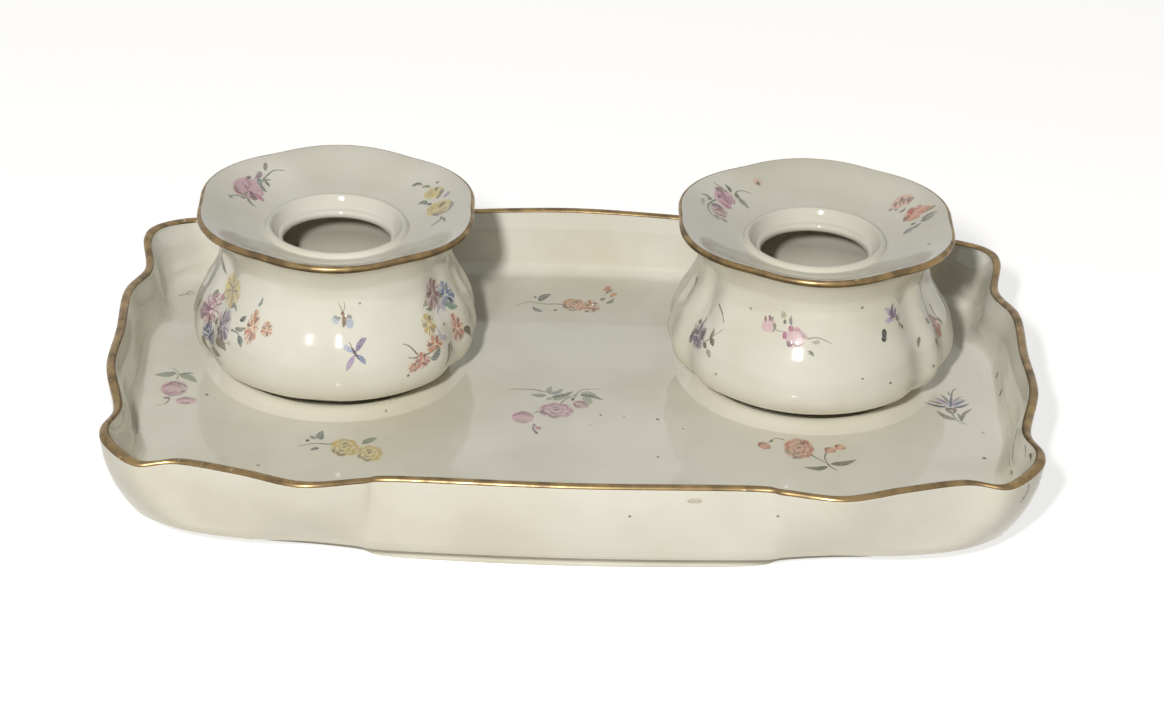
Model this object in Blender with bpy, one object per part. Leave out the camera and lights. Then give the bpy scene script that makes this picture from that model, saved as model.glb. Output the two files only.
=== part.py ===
"""Porcelain desk inkstand: a lobed tray with two sockets, and two fluted ink pots that lift out of them.

Units are metres, +Z is up. The origin is on the table, under the middle of the tray. The tray's long
side runs along X and the writer sits at -Y. Every edge that is gilded on the real object carries its
gilding as a thin band of its own.
"""

import math

import bmesh
import bpy
from mathutils import Vector

# Tray
TRAY_LENGTH = 0.250
TRAY_WIDTH = 0.168
TRAY_RIM_HEIGHT = 0.030
TRAY_RIM_WAVE = 0.0016
TRAY_RIM_THICKNESS = 0.0025
TRAY_WALL = 0.0038
TRAY_FLOOR_HEIGHT = 0.0123
TRAY_FLOOR_THICKNESS = 0.0053
TRAY_FLOOR_FILLET = 0.0045
BELLY_HEIGHT = 0.0092
FOOT_HEIGHT = 0.0045
FOOT_RING_WIDTH = 0.0048
FOOT_CHAMFER = 0.0006

# Sockets that the pots stand in, and the room between each pot's belly and the tray's end and back
SOCKET_PLAY = 0.0030
SOCKET_RECESS = 0.0013
SOCKET_RECESS_SLOPE = 0.0030
SOCKET_CREST_WIDTH = 0.0014
SOCKET_LIP_RISE = 0.0017
SOCKET_LIP_WIDTH = 0.0062
POT_END_ROOM = 0.0191
POT_BACK_ROOM = 0.0255

# Ink pots
POT_HEIGHT = 0.0491
POT_WALL = 0.0031
POT_FOOT_RADIUS = 0.0235
POT_FOOT_WIDTH = 0.0034
POT_FOOT_RECESS = 0.0014
POT_FLOOR_THICKNESS = 0.0036
POT_BELLY_RADIUS = 0.0402
POT_BELLY_HEIGHT = 0.0145
POT_NECK_RADIUS = 0.0322
POT_NECK_DROP = 0.0114
POT_FLANGE_RADIUS = 0.0392
POT_FLANGE_THICKNESS = 0.0022
POT_DISH_DEPTH = 0.0070
POT_BEAD_RADIUS = 0.0186
POT_BEAD_WIDTH = 0.0028
POT_BEAD_RISE = 0.0012
POT_MOUTH_RADIUS = 0.0146
POT_MOUTH_DROP = 0.0022
POT_MOUTH_THICKNESS = 0.0026

# Lobes of the pots' flanges and grooves between the flutes of their bellies
FLANGE_LOBES = 6
FLANGE_LOBE_DEPTH = 0.0016
FLANGE_SOFTNESS_SHARE = 0.30
GROOVE_DEPTH = 0.0021

# Gilding, drawn thicker than the real film so that it is a solid, and the gap between any two pieces
GILT_THICKNESS = 0.0005
CLEARANCE = 0.0003

# Roundness of the mesh
OUTLINE_STEPS = 3
FILLET_STEPS = 3
EDGE_STEPS = 3
BOWL_STEPS = 4
POT_COLUMNS = 60
SOCKET_SEGMENTS = 40
SHARP_ANGLE = math.radians(50)

# A quarter of each outline of the tray, from the middle of its end to the middle of its long side, as
# shares of half the length and half the width. The third column raises or drops the rim, as a share of
# TRAY_RIM_WAVE.
RIM_SHARES = (
    (0.998, 0.000, 0.3),
    (1.000, 0.262, 0.4),
    (0.969, 0.488, -1.0),
    (0.984, 0.667, 0.2),
    (0.964, 0.768, 0.1),
    (0.899, 0.858, -0.7),
    (0.812, 0.855, -0.2),
    (0.682, 0.925, 0.2),
    (0.556, 1.000, 0.5),
    (0.434, 0.962, 0.3),
    (0.360, 0.940, 0.2),
    (0.000, 0.971, 0.7),
)
BELLY_SHARES = (
    (0.968, 0.000),
    (0.967, 0.262),
    (0.940, 0.476),
    (0.939, 0.631),
    (0.913, 0.726),
    (0.848, 0.804),
    (0.776, 0.845),
    (0.672, 0.873),
    (0.552, 0.874),
    (0.448, 0.893),
    (0.372, 0.911),
    (0.000, 0.926),
)
FOOT_SHARES = (
    (0.903, 0.000),
    (0.900, 0.250),
    (0.867, 0.440),
    (0.843, 0.554),
    (0.811, 0.619),
    (0.763, 0.673),
    (0.711, 0.708),
    (0.631, 0.725),
    (0.536, 0.738),
    (0.444, 0.762),
    (0.360, 0.807),
    (0.000, 0.830),
)

# The tray's underside from foot to belly, its outer wall from belly to rim and its inner wall from rim
# to floor: (share of that height, share of the way from the higher outline to the lower one).
UNDERSIDE_SHARES = ((0.00, 0.92), (0.12, 0.55), (0.50, 0.14))
WALL_SHARES = ((0.15, 0.74), (0.40, 0.40), (0.70, 0.13))
INNER_WALL_SHARES = ((0.75, 0.10), (0.45, 0.26))
INNER_BASE_SHARE = 0.42
# A socket's lip from its outer edge to its crest, and its recess from the floor to the crest:
# (share of the way, share of the height).
LIP_SHARES = ((0.00, -0.08), (0.35, 0.35), (0.75, 0.85))
RECESS_SHARES = ((0.00, 0.00), (0.60, 0.35))

# The grooves round the front of each pot: (degrees from the front towards the right, share of
# GROOVE_DEPTH, half width in degrees). The back of a pot mirrors its front.
LEFT_GROOVE_SHARES = (
    (-84.0, 0.45, 8.0),
    (-62.0, 1.00, 9.0),
    (-5.0, 0.35, 8.0),
    (62.0, 1.00, 9.0),
    (84.0, 1.10, 8.0),
)
RIGHT_GROOVE_SHARES = (
    (-84.0, 0.90, 7.0),
    (-63.0, 1.00, 8.0),
    (-38.0, 0.18, 12.0),
    (36.0, 0.18, 12.0),
    (50.0, 1.00, 8.0),
    (70.0, 0.90, 7.0),
)

# A pot's side between foot and belly, and belly and neck: (radius share, height share, share of
# GROOVE_DEPTH). Between neck and flange the third column is the share of FLANGE_LOBE_DEPTH.
TUCK_SHARES = (
    (0.03, 0.06, 0.10),
    (0.30, 0.24, 0.45),
    (0.62, 0.41, 0.65),
    (0.90, 0.66, 0.85),
)
SHOULDER_SHARES = (
    (0.110, 0.216, 1.00),
    (0.305, 0.388, 1.00),
    (0.600, 0.565, 1.00),
    (0.900, 0.790, 0.80),
)
UNDER_FLANGE_SHARES = ((0.12, 0.30, 0.25), (0.50, 0.70, 0.60))
NECK_GROOVE_SHARE = 0.60
# The dish from the flange's edge to the groove outside the bead: (radius share, drop share).
DISH_SHARES = ((0.16, 0.16), (0.55, 0.65), (0.90, 0.96))
# The bead from its outer groove to its inner foot: (width share, rise share).
BEAD_SHARES = ((0.00, 0.00), (0.30, 0.85), (0.65, 0.90), (1.00, -0.45))
# The ceiling inside from mouth to neck: (radius share, rise share).
CEILING_SHARES = ((0.22, 0.10), (0.60, 1.00), (0.92, 0.70))
INNER_FLOOR_SHARE = 0.80


def clear_scene():
    """Remove every object that the scene holds."""
    for item in list(bpy.data.objects):
        bpy.data.objects.remove(item, do_unlink=True)


def make_material(name, colour, roughness, metallic):
    """Return a Principled material of one colour."""
    material = bpy.data.materials.new(name)
    material.use_nodes = True
    shader = material.node_tree.nodes["Principled BSDF"]
    shader.inputs["Base Color"].default_value = (*colour, 1.0)
    shader.inputs["Roughness"].default_value = roughness
    shader.inputs["Metallic"].default_value = metallic
    material.diffuse_color = (*colour, 1.0)
    return material


def mixed(start, end, share):
    """Return the value a share of the way from start to end."""
    return start + (end - start) * share


def arc_offsets(radius, start, end, steps):
    """Return (outward, upward) offsets from an arc's centre, from one angle in degrees to another."""
    offsets = []
    for step in range(steps + 1):
        angle = math.radians(mixed(start, end, step / steps))
        offsets.append((radius * math.cos(angle), radius * math.sin(angle)))
    return offsets


def spline(before, start, end, after, share):
    """Return a value on the Catmull-Rom curve from start to end."""
    slope = end - before
    bend = 2 * before - 5 * start + 4 * end - after
    twist = 3 * start - before - 3 * end + after
    return start + (slope * share + bend * share ** 2 + twist * share ** 3) / 2


def smooth_closed(points):
    """Return the closed smooth curve through the points."""
    curve = []
    for index in range(len(points)):
        corners = [points[(index + step) % len(points)] for step in (-1, 0, 1, 2)]
        for step in range(OUTLINE_STEPS):
            curve.append(tuple(spline(*values, step / OUTLINE_STEPS) for values in zip(*corners)))
    return curve


def tray_outline(quarter_shares):
    """Mirror a quarter outline into the whole one, at its size."""
    quarter = [(x * TRAY_LENGTH / 2, y * TRAY_WIDTH / 2, *rest) for x, y, *rest in quarter_shares]
    half = quarter + [(-x, y, *rest) for x, y, *rest in quarter[-2::-1]]
    return smooth_closed(half + [(x, -y, *rest) for x, y, *rest in half[-2:0:-1]])


RIM_OUTLINE = tray_outline(RIM_SHARES)
BELLY_OUTLINE = tray_outline(BELLY_SHARES)
FOOT_OUTLINE = tray_outline(FOOT_SHARES)


def tray_loop(upper, lower, share, inset, height, wave_share=0.0):
    """Return a loop of the tray between two of its outlines, drawn in by the inset.

    The wave share says how much of the rim's rise and fall the loop follows.
    """
    loop = []
    for high, low, rim in zip(upper, lower, RIM_OUTLINE):
        x = mixed(high[0], low[0], share) * (1 - inset / (TRAY_LENGTH / 2))
        y = mixed(high[1], low[1], share) * (1 - inset / (TRAY_WIDTH / 2))
        loop.append(Vector((x, y, height + rim[2] * TRAY_RIM_WAVE * wave_share)))
    return loop


def rim_loop(inset, height):
    """Return a loop that follows the rim in plan and in height."""
    return tray_loop(RIM_OUTLINE, RIM_OUTLINE, 0.0, inset, height, 1.0)


def foot_loop(inset, height):
    """Return a level loop that follows the foot."""
    return tray_loop(FOOT_OUTLINE, FOOT_OUTLINE, 0.0, inset, height)


def extrude_loop(bm, loop, points):
    """Extrude a closed loop of vertices to new points and return the new loop."""
    edges = [bm.edges.get((loop[index - 1], vert)) for index, vert in enumerate(loop)]
    result = bmesh.ops.extrude_edge_only(bm, edges=edges)
    fresh = {item for item in result["geom"] if isinstance(item, bmesh.types.BMVert)}
    new_loop = []
    for vert, point in zip(loop, points):
        partner = next(edge.other_vert(vert) for edge in vert.link_edges if edge.other_vert(vert) in fresh)
        partner.co = point
        new_loop.append(partner)
    return new_loop


def make_object(name, bm, material):
    """Turn a bmesh into an object with outward faces, shaded smooth except at sharp edges."""
    bmesh.ops.recalc_face_normals(bm, faces=bm.faces)
    mesh = bpy.data.meshes.new(name)
    bm.to_mesh(mesh)
    bm.free()
    mesh.shade_smooth()
    mesh.set_sharp_from_angle(angle=SHARP_ANGLE)
    mesh.materials.append(material)
    item = bpy.data.objects.new(name, mesh)
    bpy.context.scene.collection.objects.link(item)
    return item


def skin_loops(name, loops, material, ring=False):
    """Skin a row of loops into a solid: a ring closes on itself, anything else is capped at both ends."""
    bm = bmesh.new()
    first = [bm.verts.new(point) for point in loops[0]]
    for index, vert in enumerate(first):
        bm.edges.new((first[index - 1], vert))
    last = first
    for points in loops[1:]:
        last = extrude_loop(bm, last, points)
    if ring:
        last = extrude_loop(bm, last, loops[0])
        bmesh.ops.weld_verts(bm, targetmap=dict(zip(last, first)))
    else:
        bm.faces.new(first)
        bm.faces.new(last)
    return make_object(name, bm, material)


def turned_guide(name, profile, location, material):
    """Spin a profile of (radius, height) points, which starts and ends on the axis, into a guide."""
    bm = bmesh.new()
    verts = [bm.verts.new((radius, 0.0, height)) for radius, height in profile]
    edges = [bm.edges.new(pair) for pair in zip(verts, verts[1:])]
    bmesh.ops.spin(
        bm, geom=verts + edges, cent=(0.0, 0.0, 0.0), axis=(0.0, 0.0, 1.0),
        angle=2 * math.pi, steps=SOCKET_SEGMENTS, use_merge=True,
    )
    bmesh.ops.remove_doubles(bm, verts=bm.verts, dist=CLEARANCE / SOCKET_SEGMENTS)
    guide = make_object(name, bm, material)
    guide.location = location
    guide.hide_render = True
    guide.display_type = "WIRE"
    return guide


def add_boolean(item, guide, operation):
    """Join a guide to an object or cut it away, with the exact solver."""
    modifier = item.modifiers.new(guide.name, "BOOLEAN")
    modifier.operation = operation
    modifier.solver = "EXACT"
    modifier.object = guide


def tray_outer_loops():
    """Return the tray's loops from the underside's middle, round the foot and up to the rim."""
    shoulder_height = TRAY_RIM_HEIGHT - TRAY_RIM_THICKNESS / 2 - CLEARANCE
    loops = [
        foot_loop(FOOT_RING_WIDTH + FOOT_CHAMFER, TRAY_FLOOR_HEIGHT - TRAY_FLOOR_THICKNESS),
        foot_loop(FOOT_RING_WIDTH, FOOT_CHAMFER),
        foot_loop(FOOT_RING_WIDTH - FOOT_CHAMFER, 0.0),
        foot_loop(FOOT_CHAMFER, 0.0),
        foot_loop(0.0, FOOT_CHAMFER),
    ]
    for rise, share in UNDERSIDE_SHARES:
        height = mixed(FOOT_HEIGHT, BELLY_HEIGHT, rise)
        loops.append(tray_loop(BELLY_OUTLINE, FOOT_OUTLINE, share, 0.0, height))
    loops.append(tray_loop(BELLY_OUTLINE, BELLY_OUTLINE, 0.0, 0.0, BELLY_HEIGHT))
    for rise, share in WALL_SHARES:
        height = mixed(BELLY_HEIGHT, shoulder_height, rise)
        loops.append(tray_loop(RIM_OUTLINE, BELLY_OUTLINE, share, 0.0, height, rise))
    return loops + [rim_loop(0.0, shoulder_height)]


def tray_inner_loops():
    """Return the tray's loops over the rim's core, down the inner wall and round to the floor."""
    middle = TRAY_RIM_THICKNESS / 2
    core_radius = middle - GILT_THICKNESS - CLEARANCE
    core_height = TRAY_RIM_HEIGHT - middle
    shoulder_height = core_height - CLEARANCE
    loops = [rim_loop(middle - core_radius, shoulder_height)]
    for outward, upward in arc_offsets(core_radius, 0.0, 180.0, EDGE_STEPS):
        loops.append(rim_loop(middle - outward, core_height + upward))
    loops.append(rim_loop(middle + core_radius, shoulder_height))
    loops.append(rim_loop(TRAY_RIM_THICKNESS, shoulder_height))
    for rise, share in INNER_WALL_SHARES:
        height = mixed(TRAY_FLOOR_HEIGHT, shoulder_height, rise)
        loops.append(tray_loop(RIM_OUTLINE, BELLY_OUTLINE, share, TRAY_WALL, height, rise))
    for outward, upward in arc_offsets(TRAY_FLOOR_FILLET, 0.0, -90.0, FILLET_STEPS):
        inset = TRAY_WALL + TRAY_FLOOR_FILLET - outward
        height = TRAY_FLOOR_HEIGHT + TRAY_FLOOR_FILLET + upward
        loops.append(tray_loop(RIM_OUTLINE, BELLY_OUTLINE, INNER_BASE_SHARE, inset, height))
    return loops


def socket_lip_profile():
    """Return the profile of the solid that raises a socket's rolled lip above the tray's floor."""
    crest_height = TRAY_FLOOR_HEIGHT + SOCKET_LIP_RISE
    root_height = TRAY_FLOOR_HEIGHT - TRAY_FLOOR_THICKNESS / 2
    crest_radius = POT_FOOT_RADIUS + SOCKET_PLAY + SOCKET_RECESS_SLOPE + SOCKET_CREST_WIDTH
    outer_radius = crest_radius + SOCKET_LIP_WIDTH - SOCKET_CREST_WIDTH / 2
    slope = [
        (mixed(outer_radius, crest_radius, across), mixed(TRAY_FLOOR_HEIGHT, crest_height, up))
        for across, up in LIP_SHARES
    ]
    bottom = [(0.0, root_height), (outer_radius, root_height)]
    return bottom + slope + [(crest_radius, crest_height), (0.0, crest_height)]


def socket_recess_profile():
    """Return the profile of the cutter that sinks a socket's recess inside its lip."""
    crest_height = TRAY_FLOOR_HEIGHT + SOCKET_LIP_RISE
    recess_height = TRAY_FLOOR_HEIGHT - SOCKET_RECESS
    floor_radius = POT_FOOT_RADIUS + SOCKET_PLAY
    crest_radius = floor_radius + SOCKET_RECESS_SLOPE
    slope = [
        (mixed(floor_radius, crest_radius, across), mixed(recess_height, crest_height, up))
        for across, up in RECESS_SHARES
    ]
    top_height = crest_height + CLEARANCE
    top = [(crest_radius, crest_height), (crest_radius, top_height), (0.0, top_height)]
    return [(0.0, recess_height)] + slope + top


def socket_places():
    """Return the place of each socket's axis, left one first."""
    x = TRAY_LENGTH / 2 - POT_END_ROOM - POT_BELLY_RADIUS
    y = TRAY_WIDTH / 2 - POT_BACK_ROOM - POT_BELLY_RADIUS
    return [Vector((side * x, y, 0.0)) for side in (-1, 1)]


def build_tray(porcelain):
    """Build the tray with its foot ring, its upright wavy wall and the sockets for the pots."""
    tray = skin_loops("tray", tray_outer_loops() + tray_inner_loops(), porcelain)
    for side, place in zip(("left", "right"), socket_places()):
        lip = turned_guide(f"{side}_socket_lip", socket_lip_profile(), place, porcelain)
        add_boolean(tray, lip, "UNION")
        recess = turned_guide(f"{side}_socket_recess", socket_recess_profile(), place, porcelain)
        add_boolean(tray, recess, "DIFFERENCE")
    return tray


def gilt_section(thickness):
    """Return the closed section of a gilt band that caps an edge of this thickness."""
    outer = arc_offsets(thickness / 2, 0.0, 180.0, EDGE_STEPS)
    inner = arc_offsets(thickness / 2 - GILT_THICKNESS, 180.0, 0.0, EDGE_STEPS)
    return outer + inner


def build_tray_gilt_edge(gilt):
    """Build the gilt band that caps the tray's rim."""
    middle = TRAY_RIM_THICKNESS / 2
    loops = [
        rim_loop(middle - outward, TRAY_RIM_HEIGHT - middle + upward)
        for outward, upward in gilt_section(TRAY_RIM_THICKNESS)
    ]
    return skin_loops("tray_gilt_edge", loops, gilt, ring=True)


def flange_valley(angle):
    """Return 0 on the crest of a flange lobe and 1 in the valley between two of them."""
    crest = math.hypot(1.0, FLANGE_SOFTNESS_SHARE)
    wave = math.hypot(math.cos(FLANGE_LOBES / 2 * angle), FLANGE_SOFTNESS_SHARE)
    return (crest - wave) / (crest - FLANGE_SOFTNESS_SHARE)


def groove(angle, groove_shares):
    """Return how deep a belly's grooves are at an angle from its front, as a share of GROOVE_DEPTH."""
    front = math.degrees(math.atan2(math.sin(angle), abs(math.cos(angle))))
    return sum(
        share * math.exp(-((front - middle) / half_width) ** 2)
        for middle, share, half_width in groove_shares
    )


def pot_loop(radius, height, groove_depth, lobe_depth, groove_shares):
    """Return a loop of a pot, with grooves and flange lobes of these depths."""
    loop = []
    for index in range(POT_COLUMNS):
        angle = 2 * math.pi * index / POT_COLUMNS
        reach = radius - groove_depth * groove(angle, groove_shares) - lobe_depth * flange_valley(angle)
        loop.append(Vector((reach * math.sin(angle), -reach * math.cos(angle), height)))
    return loop


def pot_side(start, end, shares):
    """Return (radius, height, groove depth, lobe depth) points of a stretch of the pot's side."""
    return [
        (mixed(start[0], end[0], across), mixed(start[1], end[1], up), GROOVE_DEPTH * share, 0.0)
        for across, up, share in shares
    ]


def pot_outside():
    """Return the pot's profile from the middle of its underside up to the flange's gilt edge."""
    foot = (POT_FOOT_RADIUS, 0.0)
    belly = (POT_BELLY_RADIUS, POT_BELLY_HEIGHT)
    neck = (POT_NECK_RADIUS, POT_HEIGHT - POT_NECK_DROP)
    under_edge = (POT_FLANGE_RADIUS - POT_FLANGE_THICKNESS / 2, POT_HEIGHT - POT_FLANGE_THICKNESS)
    foot_inside = POT_FOOT_RADIUS - POT_FOOT_WIDTH
    neck_groove = GROOVE_DEPTH * NECK_GROOVE_SHARE
    under_flange = [
        (
            mixed(neck[0], under_edge[0], across),
            mixed(neck[1], under_edge[1], up),
            mixed(neck_groove, 0.0, up),
            FLANGE_LOBE_DEPTH * share,
        )
        for across, up, share in UNDER_FLANGE_SHARES
    ]
    return [
        (foot_inside - POT_FOOT_RECESS, POT_FOOT_RECESS, 0.0, 0.0),
        (foot_inside, 0.0, 0.0, 0.0),
        (*foot, 0.0, 0.0),
        *pot_side(foot, belly, TUCK_SHARES),
        (*belly, GROOVE_DEPTH, 0.0),
        *pot_side(belly, neck, SHOULDER_SHARES),
        (*neck, neck_groove, 0.0),
        *under_flange,
        (*under_edge, 0.0, FLANGE_LOBE_DEPTH),
    ]


def flange_core():
    """Return the porcelain edge of the flange under its gilt band."""
    half = POT_FLANGE_THICKNESS / 2
    edge_radius = POT_FLANGE_RADIUS - half
    edge_height = POT_HEIGHT - half
    shoulder_radius = edge_radius - CLEARANCE
    core_radius = half - GILT_THICKNESS - CLEARANCE
    core = [
        (edge_radius + outward, edge_height + upward, 0.0, FLANGE_LOBE_DEPTH)
        for outward, upward in arc_offsets(core_radius, -90.0, 90.0, EDGE_STEPS)
    ]
    return [
        (shoulder_radius, edge_height - core_radius, 0.0, FLANGE_LOBE_DEPTH),
        *core,
        (shoulder_radius, edge_height + core_radius, 0.0, FLANGE_LOBE_DEPTH),
        (shoulder_radius, POT_HEIGHT, 0.0, FLANGE_LOBE_DEPTH),
    ]


def pot_mouth():
    """Return the flange's dish, the bead round the mouth and the mouth's rounded lip."""
    edge_radius = POT_FLANGE_RADIUS - POT_FLANGE_THICKNESS / 2 - CLEARANCE
    groove_radius = POT_BEAD_RADIUS + POT_BEAD_WIDTH / 2
    groove_height = POT_HEIGHT - POT_DISH_DEPTH
    lip_radius = POT_MOUTH_THICKNESS / 2
    lip_height = groove_height - POT_MOUTH_DROP - lip_radius
    dish = [
        (
            mixed(edge_radius, groove_radius, across),
            mixed(POT_HEIGHT, groove_height, drop),
            0.0,
            mixed(FLANGE_LOBE_DEPTH, 0.0, across),
        )
        for across, drop in DISH_SHARES
    ]
    bead = [
        (groove_radius - POT_BEAD_WIDTH * across, groove_height + POT_BEAD_RISE * rise, 0.0, 0.0)
        for across, rise in BEAD_SHARES
    ]
    lip = [
        (POT_MOUTH_RADIUS + lip_radius + outward, lip_height + upward, 0.0, 0.0)
        for outward, upward in arc_offsets(lip_radius, 90.0, 270.0, EDGE_STEPS)
    ]
    return dish + bead + lip


def pot_inside():
    """Return the pot's hollow from its mouth, out under the ceiling and down to its floor."""
    belly = (POT_BELLY_RADIUS - GROOVE_DEPTH - POT_WALL, POT_BELLY_HEIGHT)
    neck_radius = POT_NECK_RADIUS - GROOVE_DEPTH * NECK_GROOVE_SHARE - POT_WALL
    neck = (neck_radius, POT_HEIGHT - POT_NECK_DROP - POT_WALL / 2)
    floor = (POT_FOOT_RADIUS * INNER_FLOOR_SHARE, POT_FOOT_RECESS + POT_FLOOR_THICKNESS)
    mouth_radius = POT_MOUTH_RADIUS + POT_MOUTH_THICKNESS / 2
    mouth_height = POT_HEIGHT - POT_DISH_DEPTH - POT_MOUTH_DROP - POT_MOUTH_THICKNESS
    ceiling_height = mouth_height + POT_MOUTH_DROP
    ceiling = [
        (mixed(mouth_radius, neck[0], across), mixed(mouth_height, ceiling_height, rise), 0.0, 0.0)
        for across, rise in CEILING_SHARES
    ]
    shoulder = [
        (mixed(belly[0], neck[0], across), mixed(belly[1], neck[1], up), 0.0, 0.0)
        for across, up, _ in reversed(SHOULDER_SHARES)
    ]
    bowl = [
        (floor[0] + outward, belly[1] + upward, 0.0, 0.0)
        for outward, upward in (
            ((belly[0] - floor[0]) * across, (belly[1] - floor[1]) * down)
            for across, down in arc_offsets(1.0, 0.0, -90.0, BOWL_STEPS)
        )
    ]
    return ceiling + [(*neck, 0.0, 0.0)] + shoulder + bowl


def build_pot(side, place, groove_shares, porcelain, gilt):
    """Build one ink pot with the gilt band on its flange, standing in its socket."""
    seat_height = TRAY_FLOOR_HEIGHT - SOCKET_RECESS + CLEARANCE
    profile = pot_outside() + flange_core() + pot_mouth() + pot_inside()
    pot = skin_loops(f"{side}_pot", [pot_loop(*point, groove_shares) for point in profile], porcelain)
    pot.location = place + Vector((0.0, 0.0, seat_height))
    half = POT_FLANGE_THICKNESS / 2
    band = []
    for upward, outward in gilt_section(POT_FLANGE_THICKNESS):
        radius = POT_FLANGE_RADIUS - half + outward
        band.append(pot_loop(radius, POT_HEIGHT - half + upward, 0.0, FLANGE_LOBE_DEPTH, groove_shares))
    edge = skin_loops(f"{side}_pot_gilt_edge", band, gilt, ring=True)
    edge.parent = pot
    return pot


def main():
    """Build every piece of the inkstand."""
    clear_scene()
    porcelain = make_material("glazed_porcelain", (0.80, 0.77, 0.68), 0.12, 0.0)
    gilt = make_material("worn_gilding", (0.55, 0.38, 0.16), 0.30, 1.0)
    build_tray(porcelain)
    build_tray_gilt_edge(gilt)
    left_place, right_place = socket_places()
    build_pot("left", left_place, LEFT_GROOVE_SHARES, porcelain, gilt)
    build_pot("right", right_place, RIGHT_GROOVE_SHARES, porcelain, gilt)


main()
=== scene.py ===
"""Dresses a porcelain desk inkstand: a lobed tray with two fluted ink pots, gilt edges and scattered flowers.

Every size is in metres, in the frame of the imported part. Painted strokes are laid out in millimetres.
"""

import logging
import math
import random
from dataclasses import dataclass, field
from enum import Enum

import bmesh
import bpy
from mathutils import Matrix, Vector
from mathutils.bvhtree import BVHTree

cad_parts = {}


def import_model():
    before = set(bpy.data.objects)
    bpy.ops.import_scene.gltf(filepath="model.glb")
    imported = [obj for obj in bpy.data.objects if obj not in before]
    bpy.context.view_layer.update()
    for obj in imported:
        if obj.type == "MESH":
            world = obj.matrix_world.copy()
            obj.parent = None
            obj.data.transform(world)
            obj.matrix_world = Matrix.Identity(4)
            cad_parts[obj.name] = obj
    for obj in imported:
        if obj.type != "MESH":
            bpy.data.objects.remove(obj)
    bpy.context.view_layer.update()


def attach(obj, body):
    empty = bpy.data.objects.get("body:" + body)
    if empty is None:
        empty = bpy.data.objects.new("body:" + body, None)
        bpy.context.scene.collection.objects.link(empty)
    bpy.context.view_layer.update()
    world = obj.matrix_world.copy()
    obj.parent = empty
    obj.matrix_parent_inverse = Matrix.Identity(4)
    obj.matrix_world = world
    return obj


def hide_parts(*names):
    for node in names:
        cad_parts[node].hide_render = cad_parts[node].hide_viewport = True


LOG = logging.getLogger("inkstand")
MM = 0.001

Colour = tuple[float, float, float, float]
Loop = list[Vector]
Row = tuple[float, ...]


def linear(code: str, alpha: float = 1.0) -> Colour:
    """Turn an sRGB hex colour into linear light.

    Args:
        code: The colour as #RRGGBB.
        alpha: The cover of the paint.

    Returns:
        Red, green, blue and alpha.
    """
    parts = [int(code[start:start + 2], 16) / 255 for start in (1, 3, 5)]
    red, green, blue = (part / 12.92 if part <= 0.04045 else ((part + 0.055) / 1.055) ** 2.4 for part in parts)
    return (red, green, blue, alpha)


def mixed(start: float, end: float, share: float) -> float:
    """Return the value a share of the way from start to end."""
    return start + (end - start) * share


def spline(before: float, start: float, end: float, after: float, share: float) -> float:
    """Interpolate on a Catmull-Rom curve.

    Args:
        before: The value before the stretch.
        start: The value where the stretch starts.
        end: The value where it ends.
        after: The value after it.
        share: The share of the way along the stretch.

    Returns:
        The value there.
    """
    slope = end - before
    bend = 2 * before - 5 * start + 4 * end - after
    twist = 3 * start - before - 3 * end + after
    return start + (slope * share + bend * share ** 2 + twist * share ** 3) / 2


def smooth_rows(rows: list[Row], steps: int, closed: bool = False) -> list[Row]:
    """Draw a smooth curve through rows of numbers.

    Args:
        rows: The rows that it passes through.
        steps: The steps from each row to the next.
        closed: Whether the curve runs back to its start.

    Returns:
        The finer rows; an open curve keeps its last row.
    """
    count = len(rows)
    fine = []
    for index in range(count if closed else count - 1):
        if closed:
            corners = [rows[(index + step) % count] for step in (-1, 0, 1, 2)]
        else:
            corners = [rows[min(max(index + step, 0), count - 1)] for step in (-1, 0, 1, 2)]
        for step in range(steps):
            fine.append(tuple(spline(*values, step / steps) for values in zip(*corners)))
    return fine if closed else fine + [rows[-1]]


def arc(radius: float, start: float, end: float, steps: int) -> list[tuple[float, float]]:
    """Lay points along an arc.

    Args:
        radius: Its radius.
        start: The angle in degrees where it starts.
        end: The angle where it ends.
        steps: The steps between them.

    Returns:
        (outward, upward) offsets from its centre.
    """
    angles = [math.radians(mixed(start, end, step / steps)) for step in range(steps + 1)]
    return [(radius * math.cos(angle), radius * math.sin(angle)) for angle in angles]


def smooth_loops(loops: list[Loop], steps: int) -> list[Loop]:
    """Put finer loops between a row of loops, on smooth curves across them.

    Args:
        loops: Loops of one length.
        steps: The steps from each loop to the next.

    Returns:
        The finer row of loops.
    """
    rows = [tuple(value for point in loop for value in point) for loop in loops]
    fine = smooth_rows(rows, steps)
    return [[Vector(row[at:at + 3]) for at in range(0, len(row), 3)] for row in fine]


def add_node(tree: bpy.types.NodeTree, kind: str, settings: dict | None = None,
             values: dict | None = None, links: dict | None = None) -> bpy.types.Node:
    """Add a node to a material or world.

    Args:
        tree: The node tree.
        kind: The node's type.
        settings: Its properties by name.
        values: What its unlinked sockets hold, by name or index.
        links: The output that feeds each linked socket, by name or index.

    Returns:
        The node.
    """
    node = tree.nodes.new(kind)
    for name, value in (settings or {}).items():
        setattr(node, name, value)
    for name, value in (values or {}).items():
        node.inputs[name].default_value = value
    for name, source in (links or {}).items():
        tree.links.new(source, node.inputs[name])
    return node


def set_ramp(node: bpy.types.Node, stops: list[tuple[float, Colour]]) -> bpy.types.Node:
    """Set the stops of a colour ramp.

    Args:
        node: The ramp, with its two first stops.
        stops: Each stop's place and colour.

    Returns:
        The same node.
    """
    ramp = node.color_ramp
    while len(ramp.elements) < len(stops):
        ramp.elements.new(1.0)
    for element, (place, colour) in zip(ramp.elements, stops):
        element.position = place
        element.color = colour
    return node


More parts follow.
